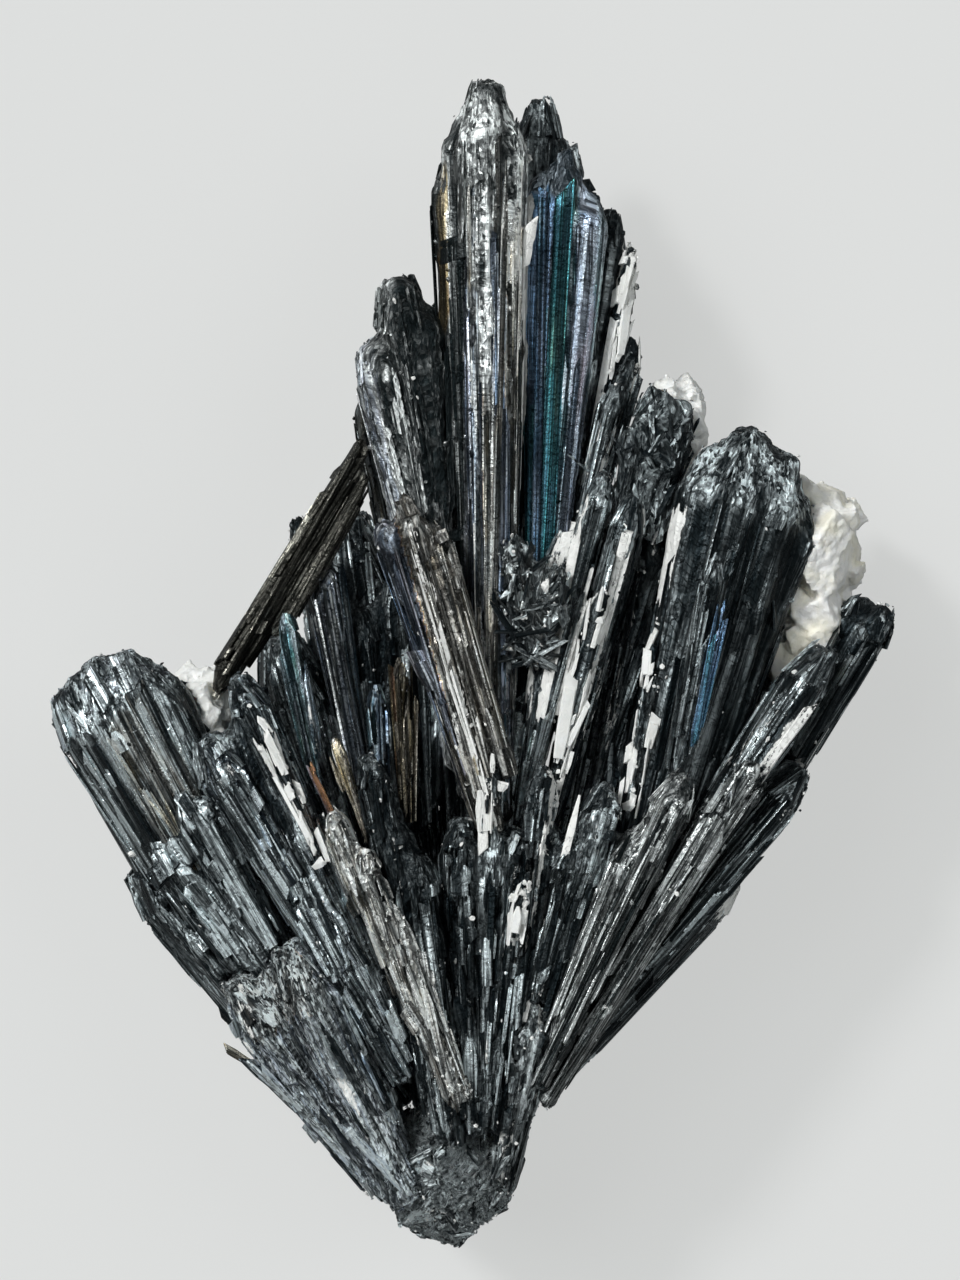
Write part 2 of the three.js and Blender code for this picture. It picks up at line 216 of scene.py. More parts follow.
def model_rhomb():
    """A cleavage rhomb of calcite about one unit across."""
    corner_up = math.atan(math.sqrt(2))
    deselect_all()
    bpy.ops.mesh.primitive_cube_add(size=0.8)
    obj = bpy.context.object
    obj.name = "rhomb"
    turn = bpy.ops.transform.rotate
    centre = (0, 0, 0)
    edit(obj, everywhere, turn, value=math.pi / 4, orient_axis="Z", center_override=centre)
    edit(obj, everywhere, turn, value=corner_up, orient_axis="X", center_override=centre)
    squeeze(obj, everywhere, (1, 1, 0.78), centre)
    edit(obj, everywhere, turn, value=-corner_up, orient_axis="X", center_override=centre)
    edit(obj, everywhere, bpy.ops.mesh.bevel, offset=0.03, segments=1, affect="EDGES")
    return obj


class Shape:
    """The triangles of a small modelled shape, ready to be copied many times."""

    def __init__(self, obj):
        edit(obj, everywhere, bpy.ops.mesh.quads_convert_to_tris)
        edit(obj, everywhere, bpy.ops.mesh.normals_make_consistent, inside=False)
        self.points = np.array([v.co for v in obj.data.vertices])
        self.faces = np.array([p.vertices for p in obj.data.polygons])
        discard(obj)

    def along(self, lengths, widths):
        """Each copy's X: a lath keeps its ends' proportions and stretches in its middle only."""
        x = self.points[None, :, 0]
        if x.min() < -0.01:
            return x * lengths[:, None]
        span = np.minimum(END_SPAN * widths, lengths * 0.45)[:, None]
        lengths = lengths[:, None]
        start = x * 4 * span
        end = lengths - (1 - x) * 4 * span
        middle = span + (x - 0.25) * 2 * (lengths - 2 * span)
        return np.where(x < 0.25, start, np.where(x > 0.75, end, middle))


LONG_MODELS = (model_lath, model_step, model_splinter, model_chisel, model_needle)
LONG_SHAPES = [Shape(model()) for model in LONG_MODELS]
LONG_SHARES = (0.38, 0.24, 0.2, 0.08, 0.1)  # how often each of them is used
CRUMBS = [Shape(model_crumb(seed)) for seed in (1, 2, 3)]
RHOMB = Shape(model_rhomb())


# ---- Repeatable noise in numpy ----


HASH_AXES = (374761393, 668265263, 1442695041)  # large odd numbers that scatter neighbouring cells
HASH_SEED, HASH_MIX = 974634777, 1274126177


def lattice(cells, seed):
    """A repeatable number from 0 to 1 for each row of whole numbers."""
    mixed = cells.astype(np.int64) @ np.array(HASH_AXES) + seed * HASH_SEED
    mixed = (mixed ^ (mixed >> 13)) * HASH_MIX
    return ((mixed ^ (mixed >> 16)) & 0xFFFF) / 65535.0


def value_noise(places, seed):
    """Smooth noise from 0 to 1 that varies over about one unit."""
    base = np.floor(places)
    ease = places - base
    ease = ease * ease * (3 - 2 * ease)
    total = np.zeros(len(places))
    for corner in itertools.product((0, 1), repeat=3):
        weight = np.prod(np.where(corner, ease, 1 - ease), axis=1)
        total += weight * lattice(base + corner, seed)
    return total


def layered_noise(places, seed, octaves=3):
    """Noise from about -1 to 1 with finer and finer layers."""
    layers = [(value_noise(places * 2**k, seed + k) * 2 - 1) * 0.55**k for k in range(octaves)]
    return sum(layers) / sum(0.55**k for k in range(octaves)) * 1.4


def stretched(grain, across, along):
    """Grain coordinates counted in cells of the given size in mm, across and along the growth."""
    return grain / np.array([across, across, along])


SEEDS = {
    "stray": 31, "clusters": 53, "ragged": 47, "waves": 3, "ridges": 7, "terraces": 13, "coarse": 17,
    "fine": 19, "tint": 23, "clouds": 29,
}


def grain_noise(grain, across, along, purpose):
    """Noise in cells of the given size in mm, across and along the growth, with a seed for each purpose."""
    return layered_noise(stretched(grain, across, along), SEEDS[purpose])


def soft_step(value, low, high):
    share = np.clip((value - low) / (high - low), 0, 1)
    return share * share * (3 - 2 * share)


# ---- Collecting copies into one mesh ----

PAINTS = ("tone", "film", "veil", "chalk", "rough")
TONE, HUE, CHALKY, ROUGH = (PAINTS.index(label) for label in ("tone", "film", "chalk", "rough"))


class Heap:
    """Everything that goes into one piece: triangles, grain coordinates in mm, and paints per point."""

    def __init__(self):
        self.points, self.faces, self.grain, self.paint, self.kind = [], [], [], [], []
        self.count = 0

    def add(self, points, faces, grain, paint, kind=0):
        """Paint has a column per name in PAINTS; kind is the material slot's number."""
        self.points.append(points)
        self.faces.append(faces + self.count)
        self.grain.append(grain)
        self.paint.append(paint)
        self.kind.append(np.full(len(faces), kind))
        self.count += len(points)

    def copies(self, shape, start, axes, sizes, paint, rng):
        """Adds a copy of a shape per row of start; axes are X, Y, Z and sizes length, width, thickness."""
        amount = len(start)
        if amount == 0:
            return
        x = shape.along(sizes[:, 0], sizes[:, 1])
        y = shape.points[None, :, 1] * sizes[:, 1, None]
        z = shape.points[None, :, 2] * sizes[:, 2, None]
        local = np.stack([x, y, z], axis=2)
        points = start[:, None, :] + np.einsum("nki,nij->nkj", local, axes)
        slide = rng.uniform(0, 300, (amount, 1, 3))
        grain = local[:, :, [1, 2, 0]] / MM + slide
        step = len(shape.points)
        faces = shape.faces[None] + (np.arange(amount) * step)[:, None, None]
        self.add(
            points.reshape(-1, 3),
            faces.reshape(-1, 3),
            grain.reshape(-1, 3),
            np.repeat(paint, step, axis=0),
        )

    def build(self, name, materials):
        """The piece as an object whose place is in its mesh."""
        points = np.concatenate(self.points)
        points[:, 2] = np.maximum(points[:, 2], 0)
        faces = np.concatenate(self.faces)
        mesh = bpy.data.meshes.new(name)
        mesh.vertices.add(len(points))
        mesh.vertices.foreach_set("co", points.astype(np.float32).ravel())
        mesh.loops.add(len(faces) * 3)
        mesh.loops.foreach_set("vertex_index", faces.astype(np.int32).ravel())
        mesh.polygons.add(len(faces))
        mesh.polygons.foreach_set("loop_start", np.arange(0, len(faces) * 3, 3, dtype=np.int32))
        mesh.polygons.foreach_set("material_index", np.concatenate(self.kind).astype(np.int32))
        mesh.update(calc_edges=True)
        layer = mesh.attributes.new("grain", "FLOAT_VECTOR", "POINT")
        layer.data.foreach_set("vector", np.concatenate(self.grain).astype(np.float32).ravel())
        paint = np.concatenate(self.paint).astype(np.float32)
        for column, label in enumerate(PAINTS):
            layer = mesh.attributes.new(label, "FLOAT", "POINT")
            layer.data.foreach_set("value", paint[:, column])
        for material in materials:
            mesh.materials.append(material)
        obj = bpy.data.objects.new(name, mesh)
        bpy.context.scene.collection.objects.link(obj)
        pick(obj)
        bpy.ops.object.shade_smooth_by_angle(angle=SMOOTH_ANGLE)
        return obj


# ---- Reading a CAD bundle ----


def unit(vectors):
    return vectors / np.maximum(np.linalg.norm(vectors, axis=-1, keepdims=True), 1e-12)


def dot(a, b):
    return np.einsum("ni,ni->n", a, b)


def merged_copy(node, name):
    """A copy of a CAD node with its loose triangles joined up."""
    obj = bpy.data.objects.new(name, frame["nodes"][node].data.copy())
    bpy.context.scene.collection.objects.link(obj)
    obj.data.materials.clear()
    edit(obj, everywhere, bpy.ops.mesh.remove_doubles, threshold=1e-6)
    return obj


def triangles_of(obj):
    obj.data.calc_loop_triangles()
    points = np.array([v.co for v in obj.data.vertices])
    faces = np.array([t.vertices for t in obj.data.loop_triangles])
    return points, faces


def tree_of(points, faces):
    return BVHTree.FromPolygons(points.tolist(), faces.tolist())


def face_normals(points, faces):
    """Unit normal and area of each triangle."""
    corners = points[faces]
    cross = np.cross(corners[:, 1] - corners[:, 0], corners[:, 2] - corners[:, 0])
    return unit(cross), np.linalg.norm(cross, axis=1) / 2


class Bundle:
    """One CAD bundle: its skin, and the run of its crystals read from its long edges."""

    def __init__(self, node):
        self.node = node
        self.skin = merged_copy(node, f"{node}_skin")
        self.points, self.faces = triangles_of(self.skin)
        self.tree = tree_of(self.points, self.faces)
        self.normals, self.areas = face_normals(self.points, self.faces)
        self.read_edges()
        self.read_ends()

    def read_edges(self):
        """Keeps the long sharp edges: they are the crystals' own edges."""
        sides = {}
        for index, face in enumerate(self.faces):
            for a, b in ((0, 1), (1, 2), (2, 0)):
                key = tuple(sorted((face[a], face[b])))
                sides.setdefault(key, []).append(index)
        sharp = [
            key
            for key, pair in sides.items()
            if len(pair) == 2 and self.normals[pair[0]] @ self.normals[pair[1]] < 0.995
        ]
        ends = self.points[np.array(sharp)]
        run = ends[:, 1] - ends[:, 0]
        length = np.linalg.norm(run, axis=1)
        long = length > 0.3 * length.max()
        self.edge_from, self.edge_run, self.edge_length = ends[long, 0], run[long], length[long]
        lead = self.edge_run[self.edge_length.argmax()]
        lead = lead if lead[1] > 0 else -lead
        facing = np.sign(self.edge_run @ lead)[:, None]
        self.edge_along = unit(self.edge_run) * facing
        self.lead = unit(self.edge_length @ self.edge_along)

    def read_ends(self):
        """Remembers where the crystals end, which is where they are broken and hackly."""
        middles = self.points[self.faces].mean(axis=1)
        along = self.run_at(middles)
        ends = (dot(along, self.normals) > 0.6) & (self.areas > 0.4 * MM * MM)
        self.ends = middles[ends] if ends.any() else self.points[[(self.points @ self.lead).argmax()]]

    def run_at(self, places):
        """Direction of growth at each place, from the nearest crystal edges."""
        offset = places[:, None, :] - self.edge_from[None]
        share = np.einsum("nei,ei->ne", offset, self.edge_run) / self.edge_length**2
        nearest = self.edge_from[None] + np.clip(share, 0, 1)[:, :, None] * self.edge_run[None]
        gap = np.linalg.norm(places[:, None, :] - nearest, axis=2)
        weight = self.edge_length**2 / (gap + 0.7 * MM) ** 4
        return unit(weight @ self.edge_along)

    def grain_at(self, places):
        """Coordinates in mm: two across the growth and one along it."""
        along = self.run_at(places)
        side = unit(np.cross(along, np.array([0.0, 0.0, 1.0])))
        rise = np.cross(side, along)
        return np.stack([dot(places, side), dot(places, rise), dot(places, along)], axis=1) / MM

    def share_at(self, places):
        """Each place's share of the way across and along the whole bundle, from 0 to 1."""
        side = unit(np.cross(self.lead, np.array([0.0, 0.0, 1.0])))
        shares = []
        for axis in (side, self.lead):
            span = self.points @ axis
            shares.append((places @ axis - span.min()) / (span.max() - span.min()))
        return shares

    def near_end(self, places):
        """1 at a crystal's end, falling to 0 away from it."""
        gap = np.linalg.norm(places[:, None, :] - self.ends[None], axis=2).min(axis=1)
        return 1 - soft_step(gap, *BROKEN_END)

    def scatter(self, amount, rng):
        """Random places on the skin, with the skin's normal at each."""
        chosen = rng.choice(len(self.faces), amount, p=self.areas / self.areas.sum())
        a, b = rng.random((2, amount, 1))
        flip = a + b > 1
        a, b = np.where(flip, 1 - a, a), np.where(flip, 1 - b, b)
        corners = self.points[self.faces[chosen]]
        places = corners[:, 0] + a * (corners[:, 1] - corners[:, 0]) + b * (corners[:, 2] - corners[:, 0])
        return places, self.normals[chosen]

    def reach(self, places, along):
        """How far each place can go along its direction before it leaves the bundle."""
        hits = [self.tree.ray_cast(Vector(p), Vector(d))[3] for p, d in zip(places, along)]
        return np.array([0.0 if hit is None else hit for hit in hits])


BUNDLES = {node: Bundle(node) for node in sorted(frame["nodes"])}


def whole_tree():
    """All bundles as one tree, to tell which surfaces are hidden between neighbours."""
    points, faces, count = [], [], 0
    for bundle in BUNDLES.values():
        points.append(bundle.points)
        faces.append(bundle.faces + count)
        count += len(bundle.points)
    return tree_of(np.concatenate(points), np.concatenate(faces))


ALL_TREE = whole_tree()


def open_to(places, towards, distance):
    """Whether nothing stands within the distance of each place in the given direction."""
    answers = []
    for place, direction in zip(places, towards):
        start = Vector(place + direction * 0.02 * MM)
        hit = ALL_TREE.ray_cast(start, Vector(direction), distance)[3]
        answers.append(hit is None)
    return np.array(answers, dtype=bool)


# ---- Shader groups ----

NUMBER, COLOUR = "NodeSocketFloat", "NodeSocketColor"


def group(name, inputs, outputs):
    """A new shader group with the named sockets; returns the tree, its input node and its output node."""
    tree = bpy.data.node_groups.new(name, "ShaderNodeTree")
    for label, kind, value in inputs:
        socket = tree.interface.new_socket(label, in_out="INPUT", socket_type=kind)
        socket.default_value = value
    for label, kind in outputs:
        tree.interface.new_socket(label, in_out="OUTPUT", socket_type=kind)
    return tree, tree.nodes.new("NodeGroupInput"), tree.nodes.new("NodeGroupOutput")


def feed(tree, socket, source):
    """Links a socket to its source, or sets its value."""
    if isinstance(source, bpy.types.NodeSocket):
        tree.links.new(source, socket)
    else:
        socket.default_value = source


def give(tree, out, **sources):
    """Links what a group gives to its named outputs."""
    for label, source in sources.items():
        tree.links.new(source, out.inputs[label])


def add(tree, kind, links=None, **settings):
    """Adds a node, sets its properties, and feeds its sockets."""
    node = tree.nodes.new(kind)
    for key, value in settings.items():
        setattr(node, key, value)
    for label, source in (links or {}).items():
        feed(tree, node.inputs[label], source)
    return node


def maths(tree, operation, a, b=0.0, clamp=False):
    return add(tree, "ShaderNodeMath", {0: a, 1: b}, operation=operation, use_clamp=clamp).outputs[0]


def plus(tree, a, b, clamp=False):
    return maths(tree, "ADD", a, b, clamp)


def times(tree, a, b, clamp=False):
    return maths(tree, "MULTIPLY", a, b, clamp)


def mix_colour(tree, share, a, b, blend="MIX"):
    node = add(tree, "ShaderNodeMix", data_type="RGBA", blend_type=blend)
    for label, source in (("Factor", share), ("A", a), ("B", b)):
        socket = [s for s in node.inputs if s.name == label and s.enabled][0]
        feed(tree, socket, source)
    return [s for s in node.outputs if s.enabled][0]


def ramp(tree, source, stops):
    """A colour ramp; stops are (place, colour)."""
    node = add(tree, "ShaderNodeValToRGB", {"Fac": source})
    elements = node.color_ramp.elements
    while len(elements) < len(stops):
        elements.new(0.5)
    for element, (place, colour) in zip(elements, stops):
        element.position = place
        element.color = colour if len(colour) == 4 else (*colour, 1)
    return node.outputs["Color"]


def grey(value):
    return (value, value, value, 1)


def fade(tree, source, low, high):
    """0 below low, 1 above high."""
    return ramp(tree, source, [(low, grey(0)), (high, grey(1))])


def noise(tree, where, scale, detail=4.0, roughness=0.6):
    links = {"Vector": where, "Scale": scale, "Detail": detail, "Roughness": roughness}
    return add(tree, "ShaderNodeTexNoise", links).outputs["Fac"]


def paint(tree, label):
    return add(tree, "ShaderNodeAttribute", attribute_name=label).outputs["Fac"]


def grain_place(tree, across, along):
    """The surface's own grain coordinates, counted across and along the growth."""
    source = add(tree, "ShaderNodeAttribute", attribute_name="grain").outputs["Vector"]
    scale = add(tree, "ShaderNodeCombineXYZ", {"X": across, "Y": across, "Z": along}).outputs[0]
    return add(tree, "ShaderNodeVectorMath", {0: source, 1: scale}, operation="MULTIPLY").outputs[0]


def group_striation():
    """Lines (Height, Line) and broad bands (Band) along the growth, cracks across it and worn spots."""
    tree, given, out = group(
        "Striation",
        [("Lines per mm", NUMBER, 3.0), ("Waviness", NUMBER, 0.03)],
        [
            ("Height", NUMBER),
            ("Line", NUMBER),
            ("Band", NUMBER),
            ("Crack", NUMBER),
            ("Worn", NUMBER),
        ],
    )
    lines, wave = given.outputs["Lines per mm"], given.outputs["Waviness"]
    fine = noise(tree, grain_place(tree, lines, wave), 1.0, 4.0, 0.7)
    broad = noise(tree, grain_place(tree, times(tree, lines, 0.3), wave), 1.0, 3.0, 0.6)
    height = plus(tree, times(tree, fine, 0.55), broad)
    line = fade(tree, plus(tree, times(tree, fine, 0.5), times(tree, broad, 0.5)), 0.43, 0.57)
    band = noise(tree, grain_place(tree, 0.5, 0.05), 1.0, 3.0, 0.5)
    step = noise(tree, grain_place(tree, 0.35, 0.8), 1.0, 3.0, 0.5)
    crack = maths(tree, "ABSOLUTE", maths(tree, "SUBTRACT", step, 0.5))
    worn = noise(tree, grain_place(tree, 1.1, 0.45), 1.0, 6.0, 0.7)
    crack_line = ramp(tree, crack, [(0.0, grey(1)), (0.02, grey(0))])
    give(tree, out, Height=height, Line=line, Crack=crack_line)
    give(tree, out, Band=fade(tree, band, 0.4, 0.54), Worn=fade(tree, worn, 0.45, 0.62))
    return tree


def group_film():
    """Iridescent tarnish; Film goes from tan through gold, orange, violet, blue and teal to green at 1."""
    tree, given, out = group(
        "Tarnish film",
        [("Film", NUMBER, 0.0), ("Veil", NUMBER, 0.0)],
        [("Color", COLOUR), ("Mask", NUMBER)],
    )
    drift = noise(tree, grain_place(tree, 0.8, 0.05), 1.0, 4.0, 0.65)
    patches = noise(tree, grain_place(tree, 0.9, 0.09), 1.0, 5.0, 0.65)
    moved = times(tree, maths(tree, "SUBTRACT", drift, 0.5), 0.45)
    film = plus(tree, given.outputs["Film"], moved, clamp=True)
    colour = ramp(
        tree,
        film,
        [
            (0.00, (0.60, 0.58, 0.54)),
            (0.16, (0.60, 0.54, 0.45)),
            (0.28, (0.70, 0.55, 0.26)),
            (0.35, (0.80, 0.36, 0.16)),
            (0.42, (0.52, 0.40, 0.45)),
            (0.54, (0.42, 0.46, 0.58)),
            (0.68, (0.14, 0.30, 0.52)),
            (0.82, (0.03, 0.32, 0.37)),
            (1.00, (0.36, 0.54, 0.26)),
        ],
    )
    present = plus(tree, maths(tree, "SUBTRACT", patches, 1.0), times(tree, given.outputs["Veil"], 1.2))
    give(tree, out, Color=colour, Mask=times(tree, fade(tree, present, 0.0, 0.3), 0.9))
    return tree


def group_chalk():
    """Thin torn sheets of white calcite that follow the growth; Amount 0 is clean, 1 is covered."""
    tree, given, out = group(
        "Chalk",
        [("Amount", NUMBER, 0.0)],
        [("Mask", NUMBER), ("Height", NUMBER)],
    )
    sheet = noise(tree, grain_place(tree, 0.42, 0.09), 1.0, 8.0, 0.68)
    pits = noise(tree, grain_place(tree, 2.6, 1.6), 1.0, 3.0, 0.6)
    both = plus(tree, times(tree, sheet, 0.8), times(tree, pits, 0.2))
    limit = maths(tree, "SUBTRACT", 0.70, times(tree, given.outputs["Amount"], 0.36))
    over = maths(tree, "SUBTRACT", both, limit)
    give(tree, out, Mask=times(tree, over, 30.0, clamp=True), Height=pits)
    return tree


def group_hackle():
    """Broken, sparkling mineral: small facets along the growth, each with its own Glint and Height; the
    Glint is a painted highlight for the base colour.
    """
    tree, given, out = group(
        "Hackle",
        [("Facets per mm", NUMBER, 3.2)],
        [("Glint", NUMBER), ("Height", NUMBER)],
    )
    across = given.outputs["Facets per mm"]
    place = grain_place(tree, across, times(tree, across, 0.3))
    facets = add(tree, "ShaderNodeTexVoronoi", {"Vector": place, "Scale": 1.0})
    split = add(tree, "ShaderNodeSeparateColor", {"Color": facets.outputs["Color"]})
    grit = noise(tree, place, 1.2, 4.0, 0.7)
    broad = noise(tree, place, 0.2, 4.0, 0.6)
    glint = plus(tree, times(tree, split.outputs["Red"], 0.45), plus(tree, times(tree, grit, 0.5), broad))
    height = plus(tree, times(tree, facets.outputs["Distance"], 0.8), plus(tree, grit, broad))
    give(tree, out, Glint=fade(tree, times(tree, glint, 0.6), 0.42, 0.78), Height=height)
    return tree


STRIATION = group_striation()
FILM = group_film()
CHALK = group_chalk()
HACKLE = group_hackle()


def use(tree, shared, links):
    """Places a shared group in a material and returns its outputs."""
    return add(tree, "ShaderNodeGroup", links, node_tree=shared).outputs


# ---- Materials ----

CHALK_COLOUR = (0.88, 0.88, 0.85, 1)
DIRT_COLOUR = (0.25, 0.25, 0.23, 1)
BLACK = (0.003, 0.007, 0.009)  # the darkest stibnite
GLOW_DEPTH = 1.2 * MM  # how deep light goes into calcite
BUMP = 0.3 * MM  # height of the bump relief of every mineral
METAL_SHARE = 0.85  # how metallic bare stibnite is


def blank_material(name):
    material = bpy.data.materials.new(name)
    material.use_nodes = True
    tree = material.node_tree
    return material, tree, tree.nodes["Principled BSDF"]


def squared(tree, value):
    return times(tree, value, value)


def painted_highlights(tree, grain, broken, rough):
    """How brightly bare mineral is painted: bright lines on the shafts and bright specks where it is rough
    are painted highlights in place of the metal's reflections, the dark bands between them are painted
    shade, and all of it is scaled by the tone.
    """
    striped = plus(tree, 0.03, times(tree, squared(tree, grain["Line"]), 2.1))
    speckled = plus(tree, 0.02, times(tree, squared(tree, broken["Glint"]), 2.1))
    spread = mix_colour(tree, rough, striped, speckled)
    banded = plus(tree, 0.22, times(tree, grain["Band"], 0.95))
    steep = times(tree, spread, plus(tree, 0.55, times(tree, spread, 0.4)))
    return times(tree, times(tree, paint(tree, "tone"), banded), steep)


def tarnished(tree, metal, highlight_paint):
    """The metal's colour under its iridescent film."""
    film = use(tree, FILM, {"Film": paint(tree, "film"), "Veil": paint(tree, "veil")})
    # The film's colour is made brighter where the painted highlights are.
    brightness = plus(tree, 0.05, highlight_paint, clamp=True)
    film_colour = mix_colour(tree, 1.0, film["Color"], brightness, "MULTIPLY")
    return mix_colour(tree, film["Mask"], metal, film_colour)


def relief_of(tree, grain, broken, chalk, rough):
    """Height of the grooves and cracks on the shafts, the facets where rough, and the chalk."""
    shaft = maths(tree, "SUBTRACT", grain["Height"], times(tree, grain["Crack"], 0.5))
    relief = mix_colour(tree, rough, shaft, times(tree, broken["Height"], 1.1))
    return plus(tree, relief, times(tree, chalk["Height"], 0.4))


def bumped(tree, shader, height, strength):
    """Gives the shader a bump of the given height."""
    bump = add(tree, "ShaderNodeBump", {"Height": height, "Strength": strength, "Distance": BUMP})
    tree.links.new(bump.outputs["Normal"], shader.inputs["Normal"])


def stibnite(name, dark, bright, lines, matt=0.24, cracks=0.6, wave=0.03):
    """Metallic stibnite: striated shafts that turn hackly where rough, with tarnish and chalk on them, and
    with painted highlights and painted shade in the cracks in its base colour.
    """
    material, tree, shader = blank_material(name)
    rough = paint(tree, "rough")
    grain = use(tree, STRIATION, {"Lines per mm": lines, "Waviness": wave})
    broken = use(tree, HACKLE, {})
    chalk = use(tree, CHALK, {"Amount": paint(tree, "chalk")})
    highlight_paint = painted_highlights(tree, grain, broken, rough)
    # Painted shade: the cracks across the growth are darkened, by the share given in cracks.
    crack_shade = maths(tree, "SUBTRACT", 1.0, times(tree, grain["Crack"], cracks))
    # The base colour runs from dark to bright with the painted highlights.
    metal = mix_colour(tree, times(tree, highlight_paint, crack_shade, clamp=True), (*dark, 1), (*bright, 1))
    coated = mix_colour(tree, chalk["Mask"], tarnished(tree, metal, highlight_paint), CHALK_COLOUR)
    tree.links.new(coated, shader.inputs["Base Color"])
    worn = plus(tree, times(tree, grain["Worn"], 0.14), times(tree, rough, 0.18))
    roughness = plus(tree, plus(tree, matt, worn), times(tree, chalk["Mask"], 0.5))
    tree.links.new(roughness, shader.inputs["Roughness"])
    metallic = maths(tree, "SUBTRACT", METAL_SHARE, chalk["Mask"], clamp=True)
    tree.links.new(metallic, shader.inputs["Metallic"])
    bumped(tree, shader, relief_of(tree, grain, broken, chalk, rough), 0.9)
    return material


def calcite(name, colour, stain, glow=0.2):
    """White calcite, sugary and a little see-through at its edges."""
    material, tree, shader = blank_material(name)
    place = add(tree, "ShaderNodeTexCoord").outputs["Object"]
    cloud = noise(tree, place, 120.0, 4.0, 0.6)
    sugar = noise(tree, place, 2600.0, 3.0, 0.7)
    dirt = noise(tree, place, 420.0, 6.0, 0.75)
    body = mix_colour(tree, fade(tree, cloud, 0.42, 0.62), (*colour, 1), (*stain, 1))
    soiled = mix_colour(tree, times(tree, fade(tree, dirt, 0.58, 0.7), 0.35), body, DIRT_COLOUR)
    tree.links.new(soiled, shader.inputs["Base Color"])
    shader.inputs["Coat Weight"].default_value = 0.15
    shader.inputs["Subsurface Weight"].default_value = glow
    shader.inputs["Subsurface Radius"].default_value = (1.0, 0.9, 0.8)
    shader.inputs["Subsurface Scale"].default_value = GLOW_DEPTH
    tree.links.new(plus(tree, 0.34, times(tree, sugar, 0.35)), shader.inputs["Roughness"])
    relief = plus(tree, plus(tree, sugar, times(tree, cloud, 2.0)), times(tree, dirt, 1.5))
    bumped(tree, shader, relief, 0.5)
    return material


FINISHES = {
    "stibnite_steel": stibnite("Stibnite steel", BLACK, (0.77, 0.86, 0.88), 2.1),
    "stibnite_silver": stibnite("Stibnite silver", (0.004, 0.008, 0.009), (0.90, 0.94, 0.93), 2.3),
    "stibnite_blue": stibnite(
        "Stibnite blue", (0.005, 0.011, 0.016), (0.66, 0.76, 0.84), 3.4, matt=0.18, cracks=0.05, wave=0.006
    ),
    "stibnite_bronze": stibnite(
        "Stibnite bronze", (0.010, 0.010, 0.008), (0.95, 0.92, 0.80), 2.0, matt=0.2, cracks=0.2
    ),
    "stibnite_massive": stibnite("Stibnite massive", BLACK, (0.76, 0.83, 0.84), 1.8, matt=0.3),
    "calcite_white": calcite("Calcite white", (0.93, 0.93, 0.90), (0.84, 0.84, 0.80)),
    "calcite_cream": calcite("Calcite cream", (0.98, 0.97, 0.94), (0.95, 0.91, 0.78)),
}
SLOT_OF = {part["node"]: part["material_slot"] for part in frame["record"]["subparts"]}


# ---- How each bundle looks ----

PLAIN = {
    "width": 1.1,  # mm, middle width of a lath
    "length": 14.0,  # mm, middle length of a lath
    "cover": 1.3,  # how many layers of laths lie over the skin
    "relief": 0.8,  # mm, how far ridges differ in height
    "splay": 1.2,  # degrees, how far a lath strays from the growth direction
    "roll": 6.0,  # degrees, how far a lath's broad face turns out of the skin
    "tone": 0.5,  # brightness
    "contrast": 1.25,  # how much the tone differs from lath to lath
    "film": 0.62,  # colour of the tarnish, from tan at 0 to green at 1
    "veil": 0.28,  # cover of tarnish
    "chalk": 0.16,  # cover of white calcite
    "rough": 0.1,  # share of hackly texture on the shafts
    "hackle": 0.8,  # share of hackly texture at the crystals' ends
    "chunks": 0.15,  # cover of short thick pieces of broken crystal
    "crumbs": 0.1,  # crumbs per mm2 of skin
    "white": 0.08,  # share of the crumbs that are calcite
    "fuse": 0.8,  # mm, gaps narrower than twice this are closed
    "blunt": 0.4,  # mm, corners sharper than this radius are worn off
    "patches": (),  # areas that differ
}

def area(across, along, **changes):
    """Part of a bundle that differs: its shares from-to across and from-to along, and the changes."""
    return across, along, changes


ROD = dict(  # a single clean crystal
    width=1.5, length=14, cover=0.5, relief=0.15, chalk=0.0, hackle=0.3, chunks=0.0, crumbs=0.0,
    fuse=0.1, blunt=0.1,
)

